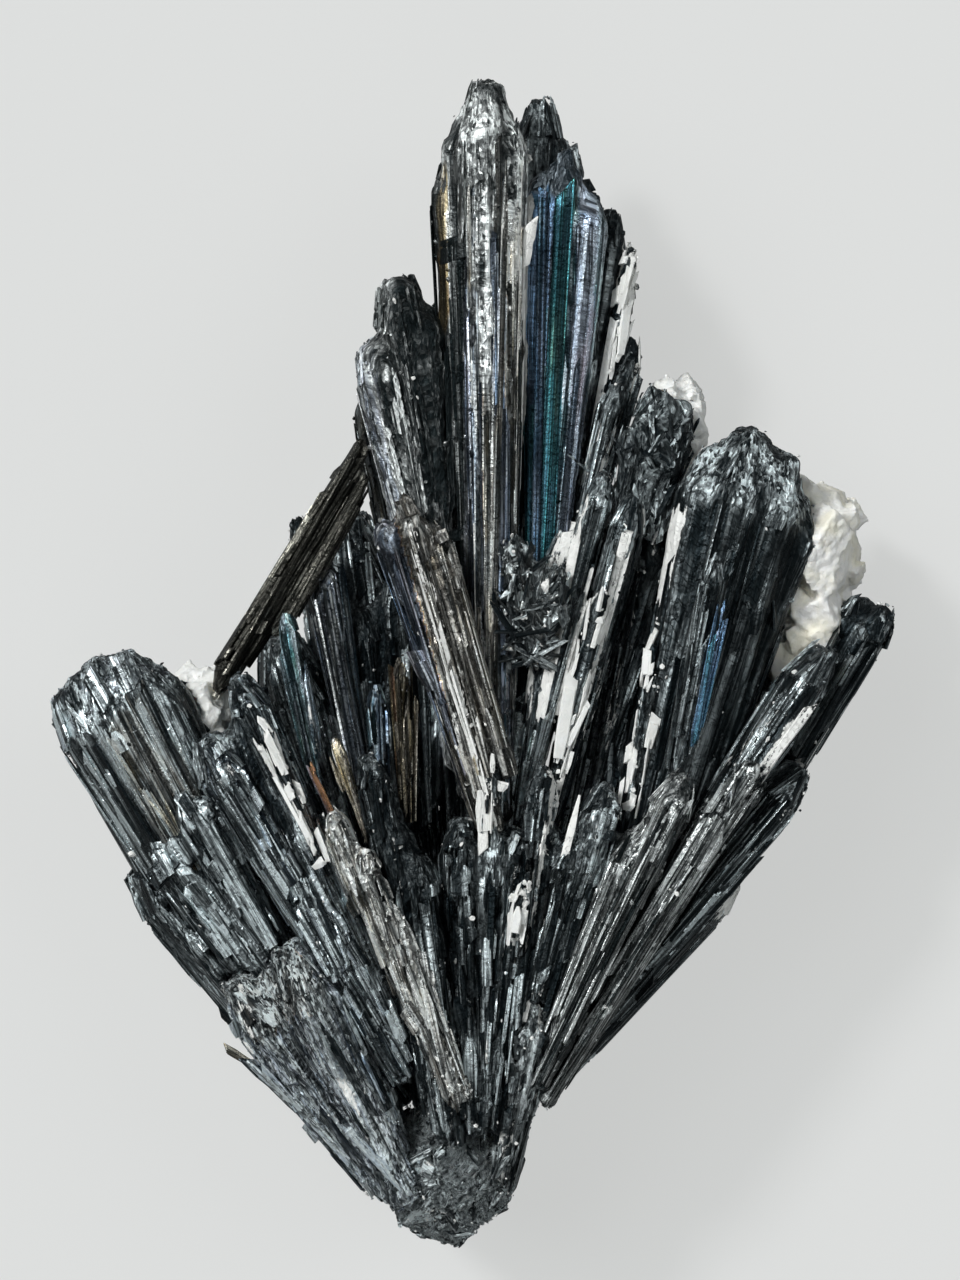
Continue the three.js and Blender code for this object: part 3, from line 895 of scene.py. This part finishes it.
SPECIAL = {
    "crown_spire": dict(
        width=0.9, length=26, tone=0.6, film=0.14, veil=0.5, fuse=2.0, blunt=2.2,
        patches=(
            # Painted shade: the left face is darkened because it faces away from the light.
            area((-0.1, 0.3), (0.0, 1.0), tone=0.07, veil=0.1, chalk=0.05),
            area((0.1, 0.2), (0.68, 0.88), tone=1.4, film=0.26, veil=0.8),
            area((0.3, 0.46), (0.25, 0.75), film=0.6, veil=0.6),
            area((0.62, 0.72), (0.1, 0.7), film=0.6, veil=0.6),
            area((0.88, 1.1), (0.25, 0.86), chalk=1.0),
            # Painted highlight: the hackly top is painted bright, over its real rough texture and chalk.
            area((0.33, 1.1), (0.84, 1.1), tone=1.1, rough=0.8, veil=0.0, chalk=0.3),
            area((-0.1, 1.1), (-0.1, 0.22), tone=0.45, rough=0.8, chalk=0.25),
            area((0.38, 0.6), (0.6, 0.86), tone=1.2, rough=0.45, veil=0.0, chalk=0.3),
        ),
    ),
    "crown_sail": dict(
        width=2.4, length=70, cover=0.5, relief=0.22, roll=2.0, contrast=0.5, film=0.84,
        veil=0.45, chalk=0.05, rough=0.0, hackle=0.9, chunks=0.0, crumbs=0.01, fuse=3.0, blunt=1.0,
        patches=(
            area((-0.1, 0.36), (0.35, 1.1), film=0.66, veil=1.0, tone=1.9),
            area((-0.1, 0.15), (0.22, 0.9), chalk=1.0),
            area((-0.1, 0.46), (0.0, 0.46), film=0.8, veil=1.0, tone=2.3),
            area((-0.1, 1.1), (-0.1, 0.16), tone=0.3, rough=0.8, chalk=0.3, veil=0.2),
            area((-0.1, 1.1), (0.9, 1.1), tone=0.2, rough=0.9, veil=0.1),
            area((0.44, 0.62), (0.1, 0.92), tone=0.35, veil=0.5),
            area((0.47, 0.49), (0.3, 0.85), film=0.92, veil=0.9, tone=0.9),
            area((0.62, 0.82), (0.2, 1.0), film=0.56, veil=0.6, tone=1.0),
        ),
    ),
    "crown_peak": dict(tone=0.35, chalk=0.25, rough=0.6, fuse=1.5, blunt=1.2),
    "crown_flank": dict(relief=1.2, tone=0.25, chalk=0.45, rough=0.5, fuse=1.5, blunt=1.0),
    "crown_fringe": dict(
        width=0.6, chalk=0.35,
        patches=(area((0.3, 0.5), (0.05, 0.6), chalk=0.85),),
    ),
    "left_shoulder": dict(
        width=0.8, cover=0.5, chalk=0.2, rough=0.85, crumbs=0.15, fuse=3.0,
        blunt=2.2,
        patches=(
            # Painted highlight along the bright left edge, with its real tarnish colour.
            area((-0.1, 0.25), (0.0, 0.9), tone=2.2, film=0.55, veil=0.5, rough=0.6),
            # Painted shadow: the right part is darkened as shade.
            area((0.55, 1.1), (0.0, 1.1), tone=0.07),
        ),
    ),
    "left_back_prism": dict(relief=0.5, tone=0.12, film=0.2, veil=0.5, chalk=0.05),
    "diagonal_ribs": dict(
        width=0.7, length=16, relief=1.3, tone=0.6, film=0.1, veil=0.6, chalk=0.22, chunks=0.3,
        patches=(
            area((-0.1, 0.3), (0.4, 1.1), tone=0.6, film=0.58, veil=0.6),
            area((0.42, 0.54), (0.1, 0.7), chalk=0.75),
        ),
    ),
    "left_ridge": dict(
        length=8, relief=1.6, tone=2.2, film=0.1, veil=0.5, chalk=0.25, hackle=0.4,
        chunks=0.8, crumbs=0.25, white=0.35, fuse=0.2,
    ),
    "stray_needle": dict(ROD, tone=0.25, film=0.2, veil=0.5),
    "left_horn": dict(
        width=1.6, length=24, relief=0.7, tone=0.72, hackle=1.0, fuse=2.2, blunt=1.6,
        patches=(
            area((0.3, 0.75), (0.2, 0.8), tone=1.3, film=0.18, veil=0.5),
            area((-0.1, 1.1), (0.82, 1.2), tone=1.2, film=0.54, veil=0.4),
        # Painted highlight: the horn's top is brighter, with its real tarnish colour.
        ),
    ),
    "horn_skirt": dict(width=1.6, tone=0.4, fuse=1.5, blunt=0.8),
    "left_flank_inner": dict(
        width=1.8, length=9, relief=1.3, tone=0.6, film=0.6, veil=0.4, chunks=0.8, fuse=1.5, blunt=1.0,
    ),
    "left_flank_middle": dict(
        width=1.8, length=8, relief=1.4, tone=0.46, chalk=0.25, rough=0.3, chunks=0.8, fuse=1.8,
        blunt=1.0,
    ),
    "left_flank_outer": dict(width=1.4, tone=0.42, rough=0.35, chunks=0.6, fuse=1.8, blunt=1.0),
    "right_fan_inner": dict(width=0.7, length=20, cover=1.8, tone=0.6, chalk=0.2),
    "right_fan_middle": dict(width=0.6, length=20, cover=1.8, tone=0.62, veil=0.35),
    "right_fan_outer": dict(
        width=0.7, length=18, cover=1.8, tone=0.4,
        patches=(area((0.8, 1.1), (0.6, 1.0), chalk=0.9),),
    ),
    "center_left": dict(width=1.4, length=6, relief=1.8, tone=0.13, chalk=0.2, chunks=0.7, white=0.25),
    "center_spine": dict(
        width=1.2, length=6, relief=2.0, tone=0.2, chalk=0.25, chunks=0.7, white=0.25,
        patches=(area((0.45, 0.6), (0.75, 1.1), chalk=0.9),),
    ),
    "center_right": dict(
        width=1.2, length=7, relief=1.8, tone=0.17, chalk=0.25, chunks=0.7,
        patches=(area((0.2, 0.32), (0.55, 1.1), chalk=0.85),),
    ),
    "cross_blade": dict(width=1.6, length=30, relief=0.4, tone=0.13, film=0.95, veil=0.3, chalk=0.03),
    "pocket_wall": dict(tone=0.14, chalk=0.08),
    "knob_prism": dict(tone=0.18),
    "pocket_teal_rod": dict(ROD, tone=1.1, contrast=1.4, film=0.86, veil=0.5, chalk=0.3),
    # Painted glint: the rod is painted bright where it would catch the light.
    "pocket_yellow_rod": dict(ROD, tone=2.5, contrast=0.2, film=0.22, veil=0.6, chalk=0.6, hackle=0.1),
    "pocket_orange_lath": dict(ROD, tone=2.5, contrast=0.2, film=0.34, veil=1.0),
    "pocket_rod_left": dict(tone=0.4, film=0.7, veil=0.55),
    "pocket_rod_middle": dict(film=0.2, veil=0.6),
    "pocket_rod_right": dict(tone=0.35),
    "pocket_grey_blade": dict(
        length=30, relief=0.3, tone=0.35, contrast=0.5, film=0.6, veil=0.5, chalk=0.0,
    ),
    "blue_rod": dict(ROD, tone=1.0, film=0.66, veil=0.8),
    "right_blade_near": dict(
        tone=0.3, film=0.8, veil=0.35, chalk=0.4,
        patches=(
            area((0.42, 0.62), (0.3, 0.8), chalk=1.0),
            area((0.1, 0.24), (0.05, 0.55), chalk=0.9),
            area((0.72, 0.82), (0.1, 0.6), chalk=0.85),
        ),
    ),
    "right_blade_middle": dict(
        tone=0.18, film=0.8, veil=0.35, chalk=0.35,
        patches=(
            area((0.5, 0.68), (0.25, 0.9), chalk=0.95),
            area((0.1, 0.22), (0.3, 0.7), chalk=0.8),
        ),
    ),
    "right_blade_far": dict(tone=0.14, chalk=0.35),
    "right_tangle": dict(
        width=0.7, length=5, cover=0.8, relief=1.6, splay=30, rough=0.9, fuse=1.8, blunt=1.0,
    ),
    "heart_rubble": dict(
        width=0.8, length=3.5, cover=1.6, relief=1.6, splay=80, tone=0.42, contrast=1.3, film=0.1,
        veil=0.4, rough=0.35, chunks=0.4, crumbs=0.4, white=0.2, fuse=2.6, blunt=1.0,
    ),
    "right_shoulder": dict(
        width=1.8, length=22, cover=0.5, tone=0.12, contrast=0.6, chalk=0.06, rough=0.2,
        hackle=1.0, crumbs=0.06, fuse=2.6, blunt=2.0,
        patches=(
            # Painted highlight on the hackly rim at the top, over its real rough texture and chalk.
            area((-0.1, 1.1), (0.84, 1.2), tone=0.8, rough=1.0, chalk=0.2),
            area((-0.1, 0.14), (0.6, 0.8), chalk=1.0),
        ),
    ),
    "right_step": dict(
        tone=0.3, chalk=0.25, fuse=1.5, blunt=1.0,
        patches=(area((0.6, 0.85), (0.2, 0.75), chalk=0.85),),
    ),
    "right_horn": dict(
        tone=0.25, chalk=0.2, hackle=1.0, fuse=1.5, blunt=1.2,
        patches=(area((0.6, 1.1), (0.05, 0.55), chalk=0.95),),
    ),
    "root_stump": dict(
        length=4, cover=0.35, relief=1.4, splay=12, tone=1.8, chalk=0.3, rough=0.9, crumbs=0.2,
        white=0.2, fuse=2.0, blunt=1.4,
    ),
    "root_apron": dict(
        length=7, cover=0.4, relief=1.2, splay=8, tone=1.5, film=0.58, veil=0.45, chalk=0.25, rough=0.8,
        fuse=2.0, blunt=1.4,
        patches=(area((0.1, 0.8), (0.78, 1.1), film=0.0, veil=0.45, rough=1.0),),
    ),
    "root_shoulder": dict(
        length=6, cover=0.8, relief=1.4, splay=10, chalk=0.4, rough=0.6, crumbs=0.2,
        white=0.3, fuse=1.5,
    ),
}
PATCH_EDGE = 0.03  # half the width of the border of an area, as a share of the bundle


def style_of(node):
    return {**PLAIN, **SPECIAL.get(node, {})}


def window(value, span, soft):
    """1 inside the span, falling to 0 outside it."""
    begun = soft_step(value, span[0] - soft, span[0] + soft)
    ended = soft_step(value, span[1] - soft, span[1] + soft)
    return begun * (1 - ended)


def painted(bundle, style, places, grain):
    """The paints at each place: the bundle's own, then those of its patches, then its broken ends."""
    across, along = bundle.share_at(places)
    stray = grain_noise(grain, 1.5, 10.0, "stray")
    values = {label: np.full(len(places), float(style[label])) for label in PAINTS}
    clusters = grain_noise(grain, 3.0, 14.0, "clusters")
    values["chalk"] *= 1.8 * soft_step(clusters, -0.1, 0.6)
    for span_across, span_along, changes in style["patches"]:
        mask = window(across + 0.05 * stray, span_across, PATCH_EDGE)
        mask = mask * window(along + 0.04 * stray, span_along, PATCH_EDGE)
        for label, value in changes.items():
            share = mask > 0.2 if label == "film" else mask
            values[label] += share * (value - values[label])
    ragged = np.clip(bundle.near_end(places) + 0.35 * grain_noise(grain, 2.5, 2.5, "ragged"), 0, 1)
    values["rough"] = np.maximum(values["rough"], soft_step(ragged, 0.35, 0.75) * style["hackle"])
    values["chalk"] = np.clip(values["chalk"], 0, 1)
    return np.stack([values[label] for label in PAINTS], axis=1)


# ---- The body: the bundle itself, carved along its growth ----


def carving(grain, rough, style):
    """Height in mm of the carved surface over the CAD skin."""
    relief = style["relief"]
    waves = grain_noise(grain, 4.5, 22.0, "waves") * 0.55 * relief
    ridges = grain_noise(grain, 1.4, 16.0, "ridges") * 0.5 * relief
    steps = np.floor(stretched(grain, 2.2, 13.0) + 0.4 * waves[:, None])
    terrace = lattice(steps, SEEDS["terraces"]) - 0.5
    shaft = waves + ridges + terrace * 0.6 * relief
    coarse = grain_noise(grain, 1.9, 5.0, "coarse") * 0.7
    fine = grain_noise(grain, 0.9, 1.7, "fine") * 0.35
    return shaft * (1 - 0.5 * rough) + (coarse + fine) * rough - 0.25


def swell(obj, amount, cell):
    """Moves the surface out by an amount, or in if it is negative, and meshes it afresh."""
    apply_modifier(obj, "DISPLACE", strength=amount, mid_level=0)
    apply_modifier(obj, "REMESH", mode="VOXEL", voxel_size=cell)


def add_body(heap, bundle, style, kind=0):
    """The bundle with its gaps closed and corners worn, carved along its growth and broken at its ends."""
    apply_modifier(bundle.skin, "REMESH", mode="VOXEL", voxel_size=ROUGH_CELL)
    swell(bundle.skin, style["fuse"] * MM, ROUGH_CELL)
    swell(bundle.skin, -(style["fuse"] + style["blunt"]) * MM, ROUGH_CELL)
    swell(bundle.skin, style["blunt"] * MM, BODY_CELL)
    points, faces = triangles_of(bundle.skin)
    normals = np.array([v.normal for v in bundle.skin.data.vertices])
    discard(bundle.skin)
    grain = bundle.grain_at(points)
    paints = painted(bundle, style, points, grain)
    height = carving(grain, paints[:, ROUGH], style)
    tint = grain_noise(grain, 1.6, 14.0, "tint") * 1.1
    tint += grain_noise(grain, 5, 9, "clouds") * 1.1
    tint *= style["contrast"]
    # Painted shade and light: the tone is darker where the carved surface lies low and brighter on ridges,
    # on top of a tint that differs at random.
    paints[:, TONE] = np.clip(paints[:, TONE] * np.exp(tint + 0.9 * height), *TONES)
    moved = points + normals * (height * MM)[:, None]
    moved[:, 2] = np.maximum(moved[:, 2], 0)
    heap.add(moved, faces, grain, paints, kind)


# ---- Laths and crumbs on the body ----


def tilted(vectors, towards, angle):
    """Turns each vector towards another, square to it, by an angle in radians."""
    angle = angle[:, None]
    return vectors * np.cos(angle) + towards * np.sin(angle)


def lath_frames(along, out, splay, roll):
    """Each lath's X, Y and Z axes after it strays by splay and rolls by roll."""
    across = unit(np.cross(out, along))
    along = tilted(along, across, splay)
    across = unit(np.cross(out, along))
    out = np.cross(along, across)
    rolled_across = tilted(across, out, roll)
    rolled_out = np.cross(along, rolled_across)
    return np.stack([along, rolled_across, rolled_out], axis=1)


def lath_places(bundle, style, rng):
    """Places on the open skin with their normals, directions and room ahead and behind."""
    patch = style["width"] * style["length"] * MM * MM
    amount = int(style["cover"] * bundle.areas.sum() / patch)
    places, normals = bundle.scatter(amount, rng)
    along = bundle.run_at(places)
    keep = (np.abs(dot(along, normals)) < STEEPEST) & (normals[:, 2] > UNDERSIDE)
    places, normals, along = places[keep], normals[keep], along[keep]
    keep = open_to(places, normals, HIDDEN_GAP)
    places, normals, along = places[keep], normals[keep], along[keep]
    flat = unit(along - normals * dot(along, normals)[:, None])
    inside = places - normals * 0.3 * MM
    ahead, behind = bundle.reach(inside, flat), bundle.reach(inside, -flat)
    keep = ahead + behind > LEAST_ROOM
    return places[keep], normals[keep], flat[keep], ahead[keep], behind[keep]


def copy_chosen(heap, shapes, chosen, details, rng):
    """Adds each shape's copies; chosen says which shape each row of start, axes, sizes and paints uses."""
    details[0][:, 2] = np.maximum(details[0][:, 2], LOWEST_START)
    for index, shape in enumerate(shapes):
        which = chosen == index
        heap.copies(shape, *(detail[which] for detail in details), rng)


def lath_spans(style, ahead, behind, rng):
    """Widths, beginnings and lengths of laths that fit between the crystal's ends."""
    amount, room = len(ahead), ahead + behind
    widths = style["width"] * MM * rng.lognormal(0, 0.4, amount)
    lengths = np.minimum(style["length"] * MM * rng.lognormal(0, 0.5, amount), room)
    begin = -behind + (room - lengths) * rng.beta(0.8, 0.8, amount)
    at_tip = begin + lengths > ahead - 1.5 * MM
    lengths = np.maximum(lengths + at_tip * rng.uniform(-2.6, 0.3, amount) * MM, SHORTEST)
    return widths, begin, lengths


def surface_at(bundle, style, places):
    """The paints at each place, and the carved body's height there in mm."""
    grain = bundle.grain_at(places)
    paints = painted(bundle, style, places, grain)
    return paints, carving(grain, paints[:, ROUGH], style)


def add_laths(heap, bundle, style, rng):
    """Laths fused to the body, in ridges that stand at different heights."""
    places, normals, flat, ahead, behind = lath_places(bundle, style, rng)
    amount = len(places)
    if amount == 0:
        return
    widths, begin, lengths = lath_spans(style, ahead, behind, rng)
    paints, height = surface_at(bundle, style, places + flat * (begin + lengths / 2)[:, None])
    white = rng.random(amount) < 1.1 * paints[:, CHALKY] - 0.45
    paints[:, CHALKY] = np.where(white, 0.9, paints[:, CHALKY] * 0.8)
    thick = np.minimum(widths * 0.45, 1.0 * MM) * rng.uniform(0.6, 1.1, amount) * np.where(white, 0.6, 1)
    lift = height * MM + rng.uniform(-0.35, 0.2, amount) * thick + 0.05 * MM
    splay = np.radians(rng.normal(0, style["splay"], amount))
    roll = np.radians(rng.normal(0, style["roll"], amount))
    axes = lath_frames(flat, normals, splay, roll)
    start = places + flat * begin[:, None] + normals * lift[:, None]
    # A random tone for each lath, with painted shade: laths that lie lower are darker.
    tone_and_recess_shade = rng.lognormal(0, style["contrast"], amount) * (1 + 0.3 * height)
    paints[:, TONE] = np.clip(paints[:, TONE] * tone_and_recess_shade, *TONES)
    paints[:, HUE] = np.clip(paints[:, HUE] + rng.normal(0, 0.05, amount), 0, 1)
    sizes = np.stack([lengths, widths, thick], axis=1)
    chosen = rng.choice(len(LONG_SHAPES), amount, p=LONG_SHARES)
    copy_chosen(heap, LONG_SHAPES, chosen, (start, axes, sizes, paints), rng)


def add_chunks(heap, bundle, style, rng):
    """Short thick pieces of broken crystal that stand out of the body."""
    chunky = {"width": 2.6, "length": 6.5, "cover": style["chunks"], "splay": 5.0, "roll": 9.0}
    add_laths(heap, bundle, {**style, **chunky}, rng)


CRUMB_SIZE = 0.65  # mm, middle size of a crumb


def add_crumbs(heap, bundle, style, rng):
    """Angular crumbs lodged in the body."""
    amount = int(style["crumbs"] * bundle.areas.sum() / MM**2)
    places, normals = bundle.scatter(amount, rng)
    keep = open_to(places, normals, HIDDEN_GAP)
    places, normals = places[keep], normals[keep]
    amount = len(places)
    if amount == 0:
        return
    paints, height = surface_at(bundle, style, places)
    random_way = rng.normal(0, 1, (amount, 3)) + bundle.run_at(places)
    along = unit(random_way - normals * dot(random_way, normals)[:, None])
    axes = lath_frames(along, normals, rng.uniform(-1, 1, amount), rng.uniform(-0.5, 0.5, amount))
    size = rng.lognormal(math.log(CRUMB_SIZE), 0.4, amount) * MM
    width, thick = size * rng.uniform(0.5, 1, amount), size * rng.uniform(0.4, 0.8, amount)
    sizes = np.stack([size, width, thick], axis=1)
    paints[:, TONE] = np.clip(paints[:, TONE] * rng.lognormal(0, 0.9, amount), *CRUMB_TONES)
    paints[:, CHALKY] = np.where(rng.random(amount) < style["white"], 1.0, paints[:, CHALKY])
    start = places + normals * (height * MM)[:, None]
    chosen = rng.integers(0, len(CRUMBS), amount)
    copy_chosen(heap, CRUMBS, chosen, (start, axes, sizes, paints), rng)


def make_stibnite(node, seed):
    bundle, style = BUNDLES[node], style_of(node)
    rng = np.random.default_rng(seed)
    heap = Heap()
    add_body(heap, bundle, style)
    add_laths(heap, bundle, style, rng)
    add_chunks(heap, bundle, style, rng)
    add_crumbs(heap, bundle, style, rng)
    return heap.build(f"{node}_laths", [FINISHES[SLOT_OF[node]]])


# ---- Calcite ----

SUGARY = bpy.data.textures.new("Calcite sugar", "CLOUDS")
SUGARY.noise_scale = 1.1 * MM
SUGARY.noise_depth = 3
VEIN = {  # torn white sheets on dark crystal
    **PLAIN,
    "width": 1.2, "length": 5.0, "cover": 0.7, "relief": 1.4, "fuse": 0.3, "blunt": 0.1, "splay": 5.0,
    "roll": 12.0, "crumbs": 0.15, "hackle": 0.4, "chalk": 0.9, "tone": 0.2,
}
BLOCKS = {"calcite_block": 6.0, "calcite_knob": 3.4, "calcite_top": 3.0}  # mm, middle size of a block
BLOCK_RUN, BLOCK_UP = np.array([0.35, 1.0, 0.3]), np.array([0.3, -0.2, 1.0])  # how the blocks are turned
BLOCK_STRAY = 0.25  # how far each block strays from that
BLOCK_ANGLE = math.radians(35)  # edges of a block flatter than this are shaded smooth


def cleaved_blocks(bundle, size, rng):
    """Cleavage blocks that stand on a calcite mass, mostly turned the same way."""
    amount = int(1.3 * bundle.areas.sum() / (size * MM) ** 2)
    places, _ = bundle.scatter(amount, rng)
    places[:, 2] = np.maximum(places[:, 2], size * 0.5 * MM)
    turned = unit(BLOCK_RUN + rng.normal(0, BLOCK_STRAY, (amount, 3)))
    up = unit(BLOCK_UP + rng.normal(0, BLOCK_STRAY, (amount, 3)))
    out = unit(up - turned * dot(up, turned)[:, None])
    axes = np.stack([turned, np.cross(out, turned), out], axis=1)
    spans = size * MM * rng.lognormal(0, 0.3, (amount, 1)) * rng.uniform(0.8, 1.2, (amount, 3))
    blocks = Heap()
    blocks.copies(RHOMB, places, axes, spans, np.zeros((amount, len(PAINTS))), rng)
    return blocks.build(f"{bundle.node}_blocks", [])


def make_block(bundle, size, rng):
    """A thick calcite mass of cleaved blocks, roughened like sugar."""
    obj = bundle.skin
    blocks = cleaved_blocks(bundle, size, rng)
    pick(obj)
    blocks.select_set(True)
    bpy.ops.object.join()
    apply_modifier(obj, "REMESH", mode="VOXEL", voxel_size=BLOCK_CELL)
    grains = {"texture": SUGARY, "texture_coords": "LOCAL"}
    apply_modifier(obj, "DISPLACE", strength=0.8 * MM, mid_level=0.5, **grains)
    obj.name = f"{bundle.node}_mass"
    for vertex in obj.data.vertices:
        vertex.co.z = max(vertex.co.z, 0)
    obj.data.materials.clear()
    obj.data.materials.append(FINISHES[SLOT_OF[bundle.node]])
    pick(obj)
    bpy.ops.object.shade_smooth_by_angle(angle=BLOCK_ANGLE)
    return obj


def make_vein(bundle, rng):
    """A thin calcite vein: torn plates and crumbs that follow the crystals it fills the gaps of."""
    heap = Heap()
    add_body(heap, bundle, VEIN, kind=1)
    add_laths(heap, bundle, VEIN, rng)
    add_crumbs(heap, bundle, VEIN, rng)
    finishes = [FINISHES[SLOT_OF[bundle.node]], FINISHES["stibnite_steel"]]
    return heap.build(f"{bundle.node}_mass", finishes)


def make_calcite(node, seed):
    rng = np.random.default_rng(seed)
    if node in BLOCKS:
        return make_block(BUNDLES[node], BLOCKS[node], rng)
    return make_vein(BUNDLES[node], rng)


# ---- The whole specimen ----


def make_specimen():
    for seed, node in enumerate(sorted(frame["nodes"])):
        slot = SLOT_OF[node]
        make = make_calcite if slot.startswith("calcite") else make_stibnite
        piece = make(node, seed + 11)
        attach(piece, "root")
        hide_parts(node)


# ---- Floor, light and camera ----

CENTRE = (CAD_LOW + CAD_HIGH) / 2
FRAME_SHIFT = Vector((1.3, 4.6, 0)) * MM  # from the box's middle to the middle of the view
FRAME_HEIGHT = 217.6 * MM  # height of the view at the specimen's mid-plane
MID_PLANE = 33 * MM  # height of the specimen's middle over the floor
CAMERA_HEIGHT = 900 * MM
SENSOR = 36.0  # mm
FLOOR_SIZE = 6  # m
FLOOR_GLOW = (0.66, 0.67, 0.66, 1)
GLOW_ON_PART, GLOW_IN_VIEW = 0.1, 0.7  # strength of the glow everywhere, and what the camera sees besides
KEY_LIGHT = {"azimuth": -50, "elevation": 45, "strength": 1.8, "spread": 10}


def make_floor():
    deselect_all()
    bpy.ops.mesh.primitive_plane_add(size=FLOOR_SIZE, location=(CENTRE.x, CENTRE.y, 0))
    floor = bpy.context.object
    floor.name = "floor"
    material, tree, shader = blank_material("Pale floor")
    shader.inputs["Base Color"].default_value = (0.2, 0.2, 0.2, 1)
    shader.inputs["Roughness"].default_value = 1.0
    shader.inputs["Specular IOR Level"].default_value = 0.0
    shader.inputs["Emission Color"].default_value = FLOOR_GLOW
    seen = add(tree, "ShaderNodeLightPath").outputs["Is Camera Ray"]
    glow = plus(tree, GLOW_ON_PART, times(tree, seen, GLOW_IN_VIEW))
    tree.links.new(glow, shader.inputs["Emission Strength"])
    floor.data.materials.append(material)


def heading(azimuth, elevation):
    """The direction towards a light; azimuth 0 is over +Y and 90 over +X."""
    turn, lift = math.radians(azimuth), math.radians(elevation)
    return Vector((math.sin(turn) * math.cos(lift), math.cos(turn) * math.cos(lift), math.sin(lift)))


def sun(name, azimuth, elevation, strength, spread):
    """A distant light whose disc is spread degrees wide."""
    light = bpy.data.lights.new(name, "SUN")
    light.energy = strength
    light.angle = math.radians(spread)
    obj = bpy.data.objects.new(name, light)
    obj.rotation_euler = heading(azimuth, elevation).to_track_quat("Z", "Y").to_euler()
    bpy.context.scene.collection.objects.link(obj)


def wall_light(tree, place, azimuth, elevation, radius, strength):
    """A round soft patch of light on the studio's walls, radius in degrees."""
    towards = tuple(heading(azimuth, elevation))
    product = add(tree, "ShaderNodeVectorMath", {0: place, 1: towards}, operation="DOT_PRODUCT")
    facing = product.outputs["Value"]
    edge, middle = math.cos(math.radians(radius)), math.cos(math.radians(radius * 0.4))
    links = {"Value": facing, "From Min": edge, "From Max": middle, "To Min": 0.0, "To Max": strength}
    return add(tree, "ShaderNodeMapRange", links, interpolation_type="SMOOTHSTEP").outputs["Result"]


WALL_LIGHTS = ((-60, 50, 30, 2.7), (68, 45, 22, 2.3), (10, 74, 13, 1.1), (175, 38, 24, 0.7))
LIGHT_TINT = (0.95, 0.99, 1.0, 1)
WALL_COLOUR = (0.6, 0.61, 0.61, 1)  # what the camera sees past the floor


def make_world():
    """A studio that is dim overhead, with soft lights around it that give the metal its glints."""
    world = bpy.data.worlds.new("Studio")
    world.use_nodes = True
    tree = world.node_tree
    place = add(tree, "ShaderNodeTexCoord").outputs["Generated"]
    height = add(tree, "ShaderNodeSeparateXYZ", {"Vector": place}).outputs["Z"]
    light = ramp(tree, height, [(0.0, grey(0.2)), (0.6, grey(0.10)), (1.0, grey(0.06))])
    for patch in WALL_LIGHTS:
        light = plus(tree, light, wall_light(tree, place, *patch))
    seen = add(tree, "ShaderNodeLightPath").outputs["Is Camera Ray"]
    tinted = mix_colour(tree, 1.0, light, LIGHT_TINT, "MULTIPLY")
    colour = mix_colour(tree, seen, tinted, WALL_COLOUR)
    background = tree.nodes["Background"]
    tree.links.new(colour, background.inputs["Color"])
    bpy.context.scene.world = world


def make_camera():
    data = bpy.data.cameras.new("camera")
    data.sensor_fit = "VERTICAL"
    data.sensor_height = SENSOR
    data.sensor_width = SENSOR
    data.lens = SENSOR * (CAMERA_HEIGHT - MID_PLANE) / FRAME_HEIGHT
    camera = bpy.data.objects.new("camera", data)
    target = CENTRE + FRAME_SHIFT
    camera.location = (target.x, target.y, CAMERA_HEIGHT)
    camera.rotation_euler = (0, 0, 0)
    bpy.context.scene.collection.objects.link(camera)
    bpy.context.scene.camera = camera


make_specimen()
make_floor()
sun("key", **KEY_LIGHT)
make_world()
make_camera()
bpy.context.scene.view_settings.view_transform = "Standard"
